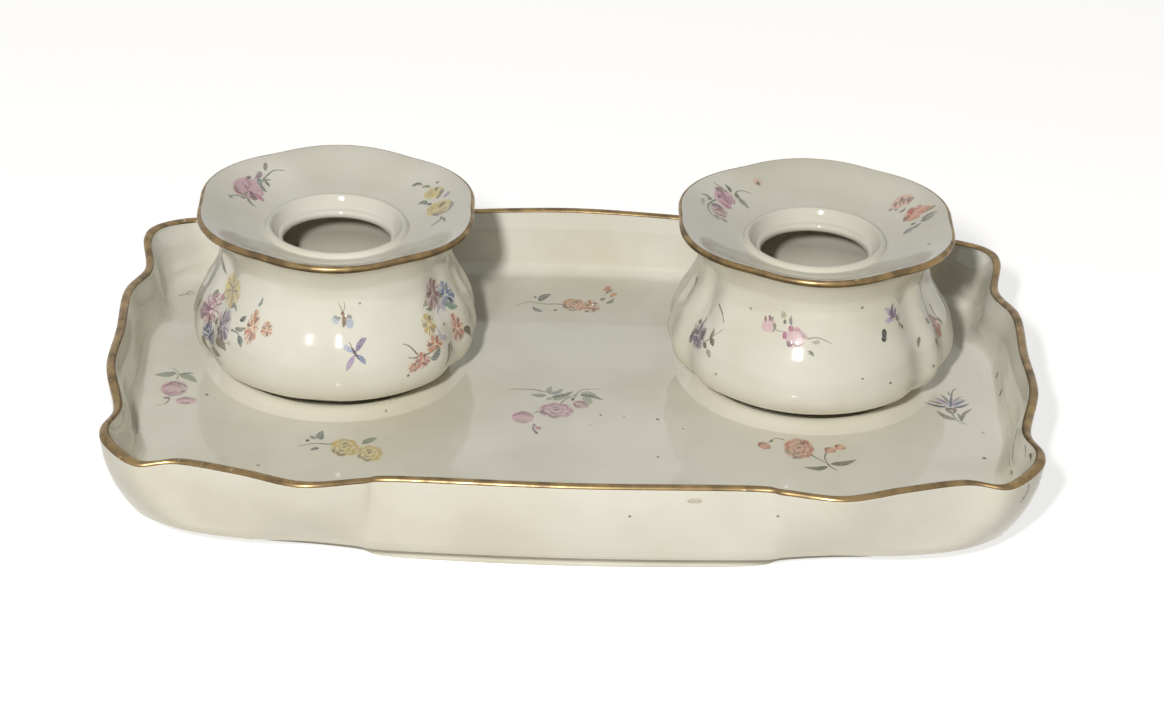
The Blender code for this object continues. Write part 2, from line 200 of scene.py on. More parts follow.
@dataclass(frozen=True)
class Glaze:
    """Clear glaze fired over porcelain: a warm ivory body under a hard, wet-looking skin.

    The glaze pools a little, so reflections waver over a centimetre or so, and small iron specks burnt
    through in the kiln show as rare dark dots.
    """

    body: str = "#E1DDCE"
    shade: str = "#D4CFBB"
    speck: str = "#5A4634"
    roughness: float = 0.08
    ior: float = 1.50
    mottle_size: float = 34 * MM
    pool_size: float = 13 * MM
    pool_depth: float = 0.045 * MM
    speck_spacing: float = 17 * MM
    speck_radius: float = 0.32 * MM

    def colour(self, tree: bpy.types.NodeTree) -> bpy.types.NodeSocket:
        """Build the colour of the glazed body.

        Args:
            tree: The material's node tree.

        Returns:
            The colour output.
        """
        place = add_node(tree, "ShaderNodeTexCoord").outputs["Object"]
        mottle = add_node(tree, "ShaderNodeTexNoise", values={"Scale": 1 / self.mottle_size, "Detail": 3.0},
                          links={"Vector": place})
        ground = set_ramp(add_node(tree, "ShaderNodeValToRGB", links={"Fac": mottle.outputs["Fac"]}),
                          [(0.32, linear(self.shade)), (0.62, linear(self.body))])
        cells = add_node(tree, "ShaderNodeTexVoronoi", values={"Scale": 1 / self.speck_spacing},
                         links={"Vector": place})
        near = add_node(tree, "ShaderNodeMapRange",
                        values={"From Min": self.speck_radius / self.speck_spacing,
                                "From Max": 0.5 * self.speck_radius / self.speck_spacing},
                        links={"Value": cells.outputs["Distance"]})
        rare = add_node(tree, "ShaderNodeMapRange", values={"From Min": 0.72, "From Max": 0.95},
                        links={"Value": cells.outputs["Color"]})
        speck = add_node(tree, "ShaderNodeMath", {"operation": "MULTIPLY"},
                         links={0: near.outputs[0], 1: rare.outputs[0]})
        blend = add_node(tree, "ShaderNodeMix", {"data_type": "RGBA"}, {"B": linear(self.speck)},
                         {"Factor": speck.outputs[0], "A": ground.outputs[0]})
        return blend.outputs["Result"]

    def bump(self, tree: bpy.types.NodeTree) -> bpy.types.NodeSocket:
        """Build the slight waves of the pooled glaze.

        Args:
            tree: The material's node tree.

        Returns:
            The normal output.
        """
        place = add_node(tree, "ShaderNodeTexCoord").outputs["Object"]
        waves = add_node(tree, "ShaderNodeTexNoise", values={"Scale": 1 / self.pool_size, "Detail": 1.0},
                         links={"Vector": place})
        bump = add_node(tree, "ShaderNodeBump", values={"Strength": 1.0, "Distance": self.pool_depth},
                        links={"Height": waves.outputs["Fac"]})
        return bump.outputs["Normal"]

    def material(self) -> bpy.types.Material:
        """Make the material of bare glazed porcelain."""
        material, tree, shader = new_material("glazed_porcelain", self.roughness, 0.0)
        shader.inputs["IOR"].default_value = self.ior
        tree.links.new(self.colour(tree), shader.inputs["Base Color"])
        tree.links.new(self.bump(tree), shader.inputs["Normal"])
        return material


@dataclass(frozen=True)
class UnglazedFoot:
    """Biscuit porcelain of a foot ring, wiped clean of glaze before firing: matt, a little rubbed and grey."""

    body: str = "#CFC9BA"
    rubbed: str = "#A89F8C"
    roughness: float = 0.75
    grit: float = 0.8 * MM

    def material(self) -> bpy.types.Material:
        """Make the material of an unglazed foot."""
        material, tree, shader = new_material("unglazed_biscuit", self.roughness, 0.0)
        place = add_node(tree, "ShaderNodeTexCoord").outputs["Object"]
        grit = add_node(tree, "ShaderNodeTexNoise", values={"Scale": 1 / self.grit, "Detail": 4.0},
                        links={"Vector": place})
        ground = set_ramp(add_node(tree, "ShaderNodeValToRGB", links={"Fac": grit.outputs["Fac"]}),
                          [(0.35, linear(self.rubbed)), (0.60, linear(self.body))])
        bump = add_node(tree, "ShaderNodeBump", values={"Strength": 0.4, "Distance": 0.05 * MM},
                        links={"Height": grit.outputs["Fac"]})
        tree.links.new(ground.outputs[0], shader.inputs["Base Color"])
        tree.links.new(bump.outputs[0], shader.inputs["Normal"])
        return material


@dataclass(frozen=True)
class Gilding:
    """Burnished gold brushed on the edges and fired, then rubbed by use: brown-gold with thin, dull places."""

    gold: str = "#937C56"
    dull: str = "#6B5A42"
    bare: str = "#C8BE9E"
    roughness: float = 0.34
    stroke_size: float = 5 * MM
    wear_size: float = 1.6 * MM

    def material(self) -> bpy.types.Material:
        """Make the material of the gilt edges."""
        material, tree, shader = new_material("fired_gilding", self.roughness, 1.0)
        place = add_node(tree, "ShaderNodeTexCoord").outputs["Object"]
        broad = add_node(tree, "ShaderNodeTexNoise", values={"Scale": 1 / self.stroke_size, "Detail": 3.0},
                         links={"Vector": place})
        ground = set_ramp(add_node(tree, "ShaderNodeValToRGB", links={"Fac": broad.outputs["Fac"]}),
                          [(0.36, linear(self.dull)), (0.62, linear(self.gold))])
        fine = add_node(tree, "ShaderNodeTexNoise", values={"Scale": 1 / self.wear_size, "Detail": 4.0},
                        links={"Vector": place})
        worn = add_node(tree, "ShaderNodeMapRange", values={"From Min": 0.68, "From Max": 0.76},
                        links={"Value": fine.outputs["Fac"]})
        blend = add_node(tree, "ShaderNodeMix", {"data_type": "RGBA"}, {"B": linear(self.bare)},
                         {"Factor": worn.outputs[0], "A": ground.outputs[0]})
        metal = add_node(tree, "ShaderNodeMapRange", values={"To Min": 1.0, "To Max": 0.1},
                         links={"Value": worn.outputs[0]})
        gloss = add_node(tree, "ShaderNodeMapRange",
                         values={"From Min": 0.3, "From Max": 0.7, "To Min": 0.46, "To Max": 0.26},
                         links={"Value": broad.outputs["Fac"]})
        bump = add_node(tree, "ShaderNodeBump", values={"Strength": 0.5, "Distance": 0.02 * MM},
                        links={"Height": fine.outputs["Fac"]})
        tree.links.new(blend.outputs["Result"], shader.inputs["Base Color"])
        tree.links.new(metal.outputs[0], shader.inputs["Metallic"])
        tree.links.new(gloss.outputs[0], shader.inputs["Roughness"])
        tree.links.new(bump.outputs[0], shader.inputs["Normal"])
        return material


@dataclass(frozen=True)
class OverglazeEnamel:
    """Enamel painted on the fired glaze with a fine brush: thin and uneven, the ivory shows through it."""

    glaze: Glaze = Glaze()
    roughness: float = 0.14
    grain: float = 0.30 * MM

    def material(self) -> bpy.types.Material:
        """Make the material of the painted strokes; their colour and cover come from the attribute paint."""
        material, tree, shader = new_material("overglaze_enamel", self.roughness, 0.0)
        shader.inputs["IOR"].default_value = self.glaze.ior
        place = add_node(tree, "ShaderNodeTexCoord").outputs["Object"]
        paint = add_node(tree, "ShaderNodeAttribute", {"attribute_name": "paint"})
        grain = add_node(tree, "ShaderNodeTexNoise", values={"Scale": 1 / self.grain, "Detail": 2.0},
                         links={"Vector": place})
        uneven = add_node(tree, "ShaderNodeMapRange",
                          values={"From Min": 0.3, "From Max": 0.7, "To Min": -0.28, "To Max": 0.28},
                          links={"Value": grain.outputs["Fac"]})
        cover = add_node(tree, "ShaderNodeMath", {"operation": "ADD", "use_clamp": True},
                         links={0: paint.outputs["Alpha"], 1: uneven.outputs[0]})
        blend = add_node(tree, "ShaderNodeMix", {"data_type": "RGBA"}, {},
                         {"Factor": cover.outputs[0], "A": self.glaze.colour(tree), "B": paint.outputs["Color"]})
        tree.links.new(blend.outputs["Result"], shader.inputs["Base Color"])
        tree.links.new(self.glaze.bump(tree), shader.inputs["Normal"])
        return material


def new_material(name: str, roughness: float, metallic: float) -> tuple[
        bpy.types.Material, bpy.types.NodeTree, bpy.types.Node]:
    """Start a material.

    Args:
        name: Its name.
        roughness: The shader's roughness.
        metallic: Whether it is metal.

    Returns:
        The material, its node tree and its shader.
    """
    material = bpy.data.materials.new(name)
    material.use_nodes = True
    shader = material.node_tree.nodes["Principled BSDF"]
    shader.inputs["Roughness"].default_value = roughness
    shader.inputs["Metallic"].default_value = metallic
    return material, material.node_tree, shader


class LoopSkin:
    """A skin that grows loop by loop with the extrude operator."""

    def __init__(self, first: Loop) -> None:
        """Start from a circle that is laid on the first loop.

        Args:
            first: The points of the first loop.
        """
        self.mesh = bmesh.new()
        self.first = bmesh.ops.create_circle(self.mesh, cap_ends=False, radius=1.0, segments=len(first))["verts"]
        for vert, point in zip(self.first, first):
            vert.co = point
        self.last = self.first

    def edges(self, loop: list[bmesh.types.BMVert]) -> list[bmesh.types.BMEdge]:
        """Return the edges along a closed loop of vertices."""
        return [self.mesh.edges.get((loop[index - 1], vert)) for index, vert in enumerate(loop)]

    def extrude(self, points: Loop) -> None:
        """Extrude the last loop to new points.

        Args:
            points: Where the new loop lies.
        """
        result = bmesh.ops.extrude_edge_only(self.mesh, edges=self.edges(self.last))
        fresh = {item for item in result["geom"] if isinstance(item, bmesh.types.BMVert)}
        loop = []
        for vert, point in zip(self.last, points):
            partner = next(edge.other_vert(vert) for edge in vert.link_edges if edge.other_vert(vert) in fresh)
            partner.co = point
            loop.append(partner)
        self.last = loop

    def grow(self, loops: list[Loop]) -> None:
        """Extrude through a row of loops.

        Args:
            loops: The loops, in order.
        """
        for points in loops:
            self.extrude(points)

    def cap(self, loop: list[bmesh.types.BMVert]) -> None:
        """Close a loop with one flat face.

        Args:
            loop: Its vertices.
        """
        bmesh.ops.contextual_create(self.mesh, geom=loop)

    def close_ring(self) -> None:
        """Bridge the last loop back to the first."""
        bmesh.ops.bridge_loops(self.mesh, edges=self.edges(self.last) + self.edges(self.first))

    def finish(self, name: str, materials: list[bpy.types.Material], foot: float | None = None) -> bpy.types.Object:
        """Turn the skin into an object.

        Args:
            name: The object's name.
            materials: Its materials; the second one dresses the faces that stand on the ground.
            foot: The height of that ground, or None.

        Returns:
            The object.
        """
        bmesh.ops.recalc_face_normals(self.mesh, faces=self.mesh.faces)
        if foot is not None:
            for face in self.mesh.faces:
                if max(vert.co.z for vert in face.verts) < foot + 0.25 * MM:
                    face.material_index = 1
        mesh = bpy.data.meshes.new(name)
        self.mesh.to_mesh(mesh)
        self.mesh.free()
        mesh.shade_smooth()
        for material in materials:
            mesh.materials.append(material)
        item = bpy.data.objects.new(name, mesh)
        bpy.context.scene.collection.objects.link(item)
        return item


@dataclass
class TrayForm:
    """The one-piece tray: foot ring, drawn-in belly, wavy wall, floor and the two sockets of the pots."""

    length: float = 250 * MM
    width: float = 168 * MM
    rim_height: float = 30 * MM
    rim_wave: float = 1.6 * MM
    rim_thickness: float = 2.5 * MM
    wall: float = 3.8 * MM
    floor_height: float = 12.3 * MM
    floor_thickness: float = 5.3 * MM
    fillet: float = 4.5 * MM
    belly_height: float = 9.2 * MM
    foot_height: float = 4.5 * MM
    foot_ring: float = 4.8 * MM
    foot_round: float = 0.6 * MM
    socket_radius: float = 26.5 * MM
    socket_recess: float = 1.3 * MM
    socket_slope: float = 3.0 * MM
    socket_crest: float = 1.4 * MM
    socket_rise: float = 1.7 * MM
    socket_lip: float = 6.2 * MM
    socket_segments: int = 144
    gilding_lift: float = 0.03 * MM
    gilding_sink: float = 0.10 * MM
    pot_places: tuple[Vector, ...] = (Vector((-0.0657, 0.0183, 0.0)), Vector((0.0657, 0.0183, 0.0)))
    outline_steps: int = 8
    # A quarter of each outline, from the middle of the end to the middle of the long side, as shares of
    # half the length and half the width; the rim's third number lifts it, as a share of its wave.
    rim_shares: tuple[Row, ...] = (
        (0.998, 0.000, 0.3), (1.000, 0.262, 0.4), (0.969, 0.488, -1.0), (0.984, 0.667, 0.2),
        (0.964, 0.768, 0.1), (0.899, 0.858, -0.7), (0.812, 0.855, -0.2), (0.682, 0.925, 0.2),
        (0.556, 1.000, 0.5), (0.434, 0.962, 0.3), (0.360, 0.940, 0.2), (0.000, 0.971, 0.7))
    belly_shares: tuple[Row, ...] = (
        (0.968, 0.000), (0.967, 0.262), (0.940, 0.476), (0.939, 0.631), (0.913, 0.726), (0.848, 0.804),
        (0.776, 0.845), (0.672, 0.873), (0.552, 0.874), (0.448, 0.893), (0.372, 0.911), (0.000, 0.926))
    foot_shares: tuple[Row, ...] = (
        (0.903, 0.000), (0.900, 0.250), (0.867, 0.440), (0.843, 0.554), (0.811, 0.619), (0.763, 0.673),
        (0.711, 0.708), (0.631, 0.725), (0.536, 0.738), (0.444, 0.762), (0.360, 0.807), (0.000, 0.830))
    underside_shares: tuple[Row, ...] = ((0.00, 0.92), (0.12, 0.55), (0.50, 0.14))
    wall_shares: tuple[Row, ...] = ((0.15, 0.74), (0.40, 0.40), (0.70, 0.13))
    inner_wall_shares: tuple[Row, ...] = ((0.75, 0.10), (0.45, 0.26))
    inner_base_share: float = 0.42

    def __post_init__(self) -> None:
        """Work out the three outlines."""
        self.rim = self.outline(self.rim_shares)
        self.belly = self.outline(self.belly_shares)
        self.foot = self.outline(self.foot_shares)

    def outline(self, shares: tuple[Row, ...]) -> list[Row]:
        """Mirror a quarter outline into the whole one.

        Args:
            shares: The quarter's rows.

        Returns:
            The rows of the smooth closed outline, at its size.
        """
        quarter = [(x * self.length / 2, y * self.width / 2, *rest) for x, y, *rest in shares]
        half = quarter + [(-x, y, *rest) for x, y, *rest in quarter[-2::-1]]
        return smooth_rows(half + [(x, -y, *rest) for x, y, *rest in half[-2:0:-1]], self.outline_steps, True)

    def loop(self, upper: list[Row], lower: list[Row], share: float, inset: float, height: float,
             wave: float = 0.0) -> Loop:
        """Lay a loop between two outlines.

        Args:
            upper: The higher outline.
            lower: The lower outline.
            share: The share of the way from the higher to the lower one.
            inset: How far it is drawn in.
            height: Its height.
            wave: The share of the rim's rise and fall that it follows.

        Returns:
            The loop's points.
        """
        points = []
        for high, low, rim in zip(upper, lower, self.rim):
            x = mixed(high[0], low[0], share) * (1 - inset / (self.length / 2))
            y = mixed(high[1], low[1], share) * (1 - inset / (self.width / 2))
            points.append(Vector((x, y, height + rim[2] * self.rim_wave * wave)))
        return points

    def rim_loop(self, inset: float, height: float) -> Loop:
        """Return a loop that follows the rim in plan and in height."""
        return self.loop(self.rim, self.rim, 0.0, inset, height, 1.0)

    def foot_loop(self, inset: float, height: float) -> Loop:
        """Return a level loop that follows the foot."""
        return self.loop(self.foot, self.foot, 0.0, inset, height)

    def foot_loops(self) -> list[Loop]:
        """Lay the loops of the underside and the foot ring.

        Returns:
            The loops from the underside's middle to the foot's outer corner.
        """
        ceiling = self.floor_height - self.floor_thickness
        soft = 2 * self.foot_round
        inner = self.foot_ring
        loops = [self.foot_loop(inner + 4 * soft, ceiling)]
        for out, rise in arc(soft, 90, 0, 6):
            loops.append(self.foot_loop(inner + soft - out, ceiling - soft + rise))
        for out, rise in arc(self.foot_round, 180, 270, 4):
            loops.append(self.foot_loop(inner - self.foot_round - out, self.foot_round + rise))
        for out, rise in arc(self.foot_round, 270, 360, 4):
            loops.append(self.foot_loop(self.foot_round - out, self.foot_round + rise))
        return loops

    def outer_loops(self) -> list[Loop]:
        """Lay the loops of the outer wall.

        Returns:
            The loops from the foot's outer corner up to the shoulder under the rim.
        """
        shoulder = self.rim_height - self.rim_thickness / 2
        loops = [self.foot_loop(0.0, self.foot_round), self.foot_loop(0.0, self.foot_height * 0.7)]
        for rise, share in self.underside_shares:
            height = mixed(self.foot_height, self.belly_height, rise)
            loops.append(self.loop(self.belly, self.foot, share, 0.0, height))
        loops.append(self.loop(self.belly, self.belly, 0.0, 0.0, self.belly_height))
        for rise, share in self.wall_shares:
            height = mixed(self.belly_height, shoulder, rise)
            loops.append(self.loop(self.rim, self.belly, share, 0.0, height, rise))
        return smooth_loops(loops + [self.rim_loop(0.0, shoulder)], 6)[1:]

    def inner_loops(self) -> list[Loop]:
        """Lay the loops over the rim and down the inner wall.

        Returns:
            The loops from the rim's outer side to the floor.
        """
        middle = self.rim_thickness / 2
        shoulder = self.rim_height - middle
        rim = [self.rim_loop(middle - out, shoulder + rise) for out, rise in arc(middle, 0, 180, 14)]
        wall = [self.rim_loop(self.rim_thickness, shoulder)]
        for rise, share in self.inner_wall_shares:
            height = mixed(self.floor_height, shoulder, rise)
            wall.append(self.loop(self.rim, self.belly, share, self.wall, height, rise))
        base = []
        for out, rise in arc(self.fillet, 0, -90, 9):
            inset = self.wall + self.fillet - out
            height = self.floor_height + self.fillet + rise
            base.append(self.loop(self.rim, self.belly, self.inner_base_share, inset, height))
        flat = self.loop(self.rim, self.belly, self.inner_base_share, self.wall + self.fillet + 0.6 * MM,
                         self.floor_height)
        wall = smooth_loops(wall + base[:2], 7)[1:-7]
        return rim[1:] + wall + base[1:] + [flat]

    def socket_profile(self) -> list[tuple[float, float]]:
        """Lay out a socket's section.

        Returns:
            (radius, height) points from the floor over the rolled lip into the recess.
        """
        slope_foot = self.socket_radius
        crest = slope_foot + self.socket_slope + self.socket_crest
        outer = crest + self.socket_lip - self.socket_crest / 2
        top = self.floor_height + self.socket_rise
        low = self.floor_height - self.socket_recess
        rows = [(outer, self.floor_height), (mixed(outer, crest, 0.35), mixed(self.floor_height, top, 0.38)),
                (mixed(outer, crest, 0.75), mixed(self.floor_height, top, 0.86)), (crest, top),
                (slope_foot + self.socket_slope, top - 0.25 * MM),
                (mixed(slope_foot, slope_foot + self.socket_slope, 0.60), mixed(low, top, 0.35)),
                (slope_foot, low)]
        return smooth_rows(rows, 5) + [(slope_foot - 0.6 * MM, low)]

    def build(self, materials: list[bpy.types.Material]) -> bpy.types.Object:
        """Build the tray's mesh.

        Args:
            materials: Glaze and unglazed foot.

        Returns:
            The tray.
        """
        under = self.foot_loops()
        skin = LoopSkin(under[0])
        skin.grow(under[1:] + self.outer_loops() + self.inner_loops())
        skin.cap(skin.first)
        edges = skin.edges(skin.last)
        profile = self.socket_profile()
        rings = []
        for place in self.pot_places:
            start = profile[0][0] + 0.6 * MM
            circle = bmesh.ops.create_circle(
                skin.mesh, cap_ends=False, radius=start, segments=self.socket_segments,
                matrix=Matrix.Translation(place + Vector((0.0, 0.0, self.floor_height))))["verts"]
            rings.append((place, start, circle))
            edges += skin.edges(circle)
        bmesh.ops.triangle_fill(skin.mesh, use_beauty=True, use_dissolve=False, edges=edges, normal=(0.0, 0.0, 1.0))
        for place, start, circle in rings:
            skin.last = circle
            plan = [(vert.co.xy - place.xy) / start for vert in circle]
            for radius, height in profile:
                skin.extrude([Vector((place.x + way.x * radius, place.y + way.y * radius, height)) for way in plan])
            skin.cap(skin.last)
        return skin.finish("tray_porcelain", materials, foot=0.0)

    def build_gilding(self, material: bpy.types.Material, seed: int) -> bpy.types.Object:
        """Build the gilt band on the rim as a thin skin with a hand-drawn edge.

        Args:
            material: The gilding.
            seed: The seed of the brush's unsteadiness.

        Returns:
            The band.
        """
        middle = self.rim_thickness / 2
        shoulder = self.rim_height - middle
        count = len(self.rim)
        low = unsteady(count, 8, 12.0, 6.0, seed)
        high = unsteady(count, 8, 158.0, 7.0, seed + 1)
        steps = 12
        sections = []
        for step in range(steps + 1):
            sections.append((middle + self.gilding_lift, step / steps))
        for step in range(4):
            sections.append((middle - self.gilding_sink, 1 - (step + 0.5) / 4))
        loops = []
        for radius, share in sections:
            loop = []
            outer = self.rim_loop(0.0, shoulder)
            inner = self.rim_loop(self.rim_thickness, shoulder)
            for index in range(count):
                angle = math.radians(mixed(low[index], high[index], share))
                across = 0.5 - radius / middle * math.cos(angle) / 2
                point = outer[index].lerp(inner[index], across)
                point.z += radius * math.sin(angle)
                loop.append(point)
            loops.append(loop)
        skin = LoopSkin(loops[0])
        skin.grow(loops[1:])
        skin.close_ring()
        return skin.finish("tray_gilding", [material])


def unsteady(count: int, knots: int, middle: float, spread: float, seed: int) -> list[float]:
    """Draw a smooth closed row of numbers that wavers as a hand-drawn line does.

    Args:
        count: How many numbers.
        knots: How many numbers lie between two turns of the line.
        middle: Their middle value.
        spread: The most that they depart from it.
        seed: The seed of the wavering.

    Returns:
        The numbers.
    """
    source = random.Random(seed)
    rows = [(middle + source.uniform(-spread, spread),) for _ in range(count // knots)]
    fine = smooth_rows(rows, knots, True)
    return [row[0] for row in fine][:count] + [middle] * max(0, count - len(fine))


@dataclass
class PotForm:
    """One ink pot: round foot, fluted belly, neck, dished flange, raised bead and rounded mouth."""

    name: str
    place: Vector
    # The grooves between its flutes: degrees from the front towards the right, depth share, half width in
    # degrees. The back mirrors the front.
    grooves: tuple[Row, ...]
    height: float = 49.1 * MM
    base: float = 11.3 * MM
    wall: float = 3.1 * MM
    foot_radius: float = 23.5 * MM
    foot_width: float = 3.4 * MM
    foot_recess: float = 1.4 * MM
    foot_round: float = 0.5 * MM
    floor_thickness: float = 3.6 * MM
    belly_radius: float = 40.2 * MM
    belly_height: float = 14.5 * MM
    neck_radius: float = 32.2 * MM
    neck_drop: float = 11.4 * MM
    flange_radius: float = 39.2 * MM
    flange_thickness: float = 2.2 * MM
    dish_depth: float = 7.0 * MM
    bead_radius: float = 18.6 * MM
    bead_width: float = 2.8 * MM
    bead_rise: float = 1.2 * MM
    mouth_radius: float = 14.6 * MM
    mouth_drop: float = 2.2 * MM
    mouth_thickness: float = 2.6 * MM
    groove_depth: float = 2.1 * MM
    flange_lobes: int = 6
    flange_lobe_depth: float = 1.6 * MM
    flange_lobe_edge: float = 0.30
    groove_limit: float = 1.2
    gilding_lift: float = 0.03 * MM
    gilding_sink: float = 0.10 * MM
    segments: int = 240
    # (radius share, height share, groove share) from foot to belly and belly to neck; from neck to flange the
    # third number is the share of the flange's lobes.
    tuck_shares: tuple[Row, ...] = (
        (0.03, 0.06, 0.10), (0.30, 0.24, 0.45), (0.62, 0.41, 0.65), (0.90, 0.66, 0.85))
    shoulder_shares: tuple[Row, ...] = (
        (0.110, 0.216, 1.00), (0.305, 0.388, 1.00), (0.600, 0.565, 1.00), (0.900, 0.790, 0.80))
    under_flange_shares: tuple[Row, ...] = ((0.12, 0.30, 0.25), (0.50, 0.70, 0.60))
    neck_groove_share: float = 0.60
    dish_shares: tuple[Row, ...] = ((0.16, 0.16), (0.55, 0.65), (0.90, 0.96))
    bead_shares: tuple[Row, ...] = ((0.00, 0.00), (0.30, 0.85), (0.65, 0.90), (1.00, -0.45))
    ceiling_shares: tuple[Row, ...] = ((0.22, 0.10), (0.60, 1.00), (0.92, 0.70))

    def __post_init__(self) -> None:
        """Work out how deep each column lies in the grooves of the belly and of the flange."""
        self.ways = []
        for index in range(self.segments):
            angle = 2 * math.pi * index / self.segments
            way = Vector((math.sin(angle), -math.cos(angle)))
            degrees = abs(math.degrees(math.atan2(way.x, abs(way.y)))) * math.copysign(1, way.x)
            sunk = 0.0
            for middle, share, half in self.grooves:
                sunk += share * math.exp(-((degrees - middle) / half) ** 2)
            edge = self.flange_lobe_edge
            crest = math.hypot(1.0, edge)
            wave = math.hypot(math.cos(self.flange_lobes / 2 * angle), edge)
            self.ways.append((way, min(sunk, self.groove_limit), (crest - wave) / (crest - edge)))

    def loop(self, radius: float, height: float, groove: float, lobe: float) -> Loop:
        """Lay one ring of the pot.

        Args:
            radius: Its radius on the crests.
            height: Its height above the pot's foot.
            groove: How deep the belly's grooves are here.
            lobe: How deep the flange's lobes are here.

        Returns:
            The ring's points.
        """
        points = []
        for way, sunk, valley in self.ways:
            reach = radius - groove * sunk - lobe * valley
            points.append(Vector((self.place.x + way.x * reach, self.place.y + way.y * reach, self.base + height)))
        return points

    def side_rows(self, start: Row, end: Row, shares: tuple[Row, ...]) -> list[Row]:
        """Lay rows between two places on the pot's side.

        Args:
            start: The radius and height of the lower place.
            end: The radius and height of the upper place.
            shares: The table of shares between them.

        Returns:
            (radius, height, groove, lobe) rows.
        """
        return [(mixed(start[0], end[0], across), mixed(start[1], end[1], up), self.groove_depth * share, 0.0)
                for across, up, share in shares]

    def outside_rows(self) -> list[Row]:
        """Return the rows from the underside's middle up to the flange's edge."""
        inside = self.foot_radius - self.foot_width
        soft = self.foot_round
        rows = [(inside - 4 * soft - self.foot_recess, self.foot_recess, 0.0, 0.0),
                (inside - self.foot_recess, self.foot_recess, 0.0, 0.0),
                (inside - 0.35 * self.foot_recess, 0.45 * self.foot_recess, 0.0, 0.0)]
        rows += [(inside + soft + out, soft + rise, 0.0, 0.0) for out, rise in arc(soft, 200, 270, 4)]
        rows += [(self.foot_radius - soft + out, soft + rise, 0.0, 0.0) for out, rise in arc(soft, 270, 340, 4)]
        foot = (self.foot_radius, 0.0)
        belly = (self.belly_radius, self.belly_height)
        neck = (self.neck_radius, self.height - self.neck_drop)
        half = self.flange_thickness / 2
        edge = (self.flange_radius - half, self.height - self.flange_thickness)
        neck_groove = self.groove_depth * self.neck_groove_share
        side = [rows[-1], *self.side_rows(foot, belly, self.tuck_shares), (*belly, self.groove_depth, 0.0),
                *self.side_rows(belly, neck, self.shoulder_shares), (*neck, neck_groove, 0.0)]
        side += [(mixed(neck[0], edge[0], across), mixed(neck[1], edge[1], up), mixed(neck_groove, 0.0, up),
                  self.flange_lobe_depth * share) for across, up, share in self.under_flange_shares]
        side.append((*edge, 0.0, self.flange_lobe_depth))
        rows += smooth_rows(side, 6)[1:]
        rows += [(self.flange_radius - half + out, self.height - half + rise, 0.0, self.flange_lobe_depth)
                 for out, rise in arc(half, -80, 90, 13)]
        return rows

    def mouth_rows(self) -> list[Row]:
        """Return the rows of the dish, the bead and the mouth's lip."""
        edge = self.flange_radius - self.flange_thickness / 2
        groove = self.bead_radius + self.bead_width / 2
        low = self.height - self.dish_depth
        lip = self.mouth_thickness / 2
        dish = [(edge, self.height, 0.0, self.flange_lobe_depth)]
        dish += [(mixed(edge, groove, across), mixed(self.height, low, drop), 0.0,
                  mixed(self.flange_lobe_depth, 0.0, across)) for across, drop in self.dish_shares]
        bead = [(groove - self.bead_width * across, low + self.bead_rise * rise, 0.0, 0.0)
                for across, rise in self.bead_shares]
        lip_height = low - self.mouth_drop - lip
        edge_rows = [(self.mouth_radius + lip + out, lip_height + rise, 0.0, 0.0)
                     for out, rise in arc(lip, 90, 270, 14)]
        return smooth_rows(dish + [bead[0]], 6)[1:] + smooth_rows(bead + [edge_rows[0]], 5)[1:] + edge_rows[1:]

    def inside_rows(self) -> list[Row]:
        """Return the rows of the hollow, from under the mouth to the pot's floor."""
        belly = (self.belly_radius - self.groove_depth - self.wall, self.belly_height)
        neck = (self.neck_radius - self.groove_depth * self.neck_groove_share - self.wall,
                self.height - self.neck_drop - self.wall / 2)
        floor = (self.foot_radius * 0.80, self.foot_recess + self.floor_thickness)
        mouth = (self.mouth_radius + self.mouth_thickness / 2,
                 self.height - self.dish_depth - self.mouth_drop - self.mouth_thickness)
        rows = [(*mouth, 0.0, 0.0)]
        rows += [(mixed(mouth[0], neck[0], across), mouth[1] + self.mouth_drop * rise, 0.0, 0.0)
                 for across, rise in self.ceiling_shares]
        rows.append((*neck, 0.0, 0.0))
        rows += [(mixed(belly[0], neck[0], across), mixed(belly[1], neck[1], up), 0.0, 0.0)
                 for across, up, _ in reversed(self.shoulder_shares)]
        rows.append((*belly, 0.0, 0.0))
        rows = smooth_rows(rows, 4)[1:]
        rows += [(floor[0] + (belly[0] - floor[0]) * across, belly[1] + (belly[1] - floor[1]) * down, 0.0, 0.0)
                 for across, down in arc(1.0, 0, -90, 12)][1:]
        return rows + [(floor[0] - 0.8 * MM, floor[1], 0.0, 0.0)]

    def build(self, materials: list[bpy.types.Material]) -> bpy.types.Object:
        """Build the pot's mesh.

        Args:
            materials: Glaze and unglazed foot.

        Returns:
            The pot.
        """
        loops = [self.loop(*row) for row in self.outside_rows() + self.mouth_rows() + self.inside_rows()]
        skin = LoopSkin(loops[0])
        skin.grow(loops[1:])
        skin.cap(skin.first)
        skin.cap(skin.last)
        return skin.finish(f"{self.name}_porcelain", materials, foot=self.base)

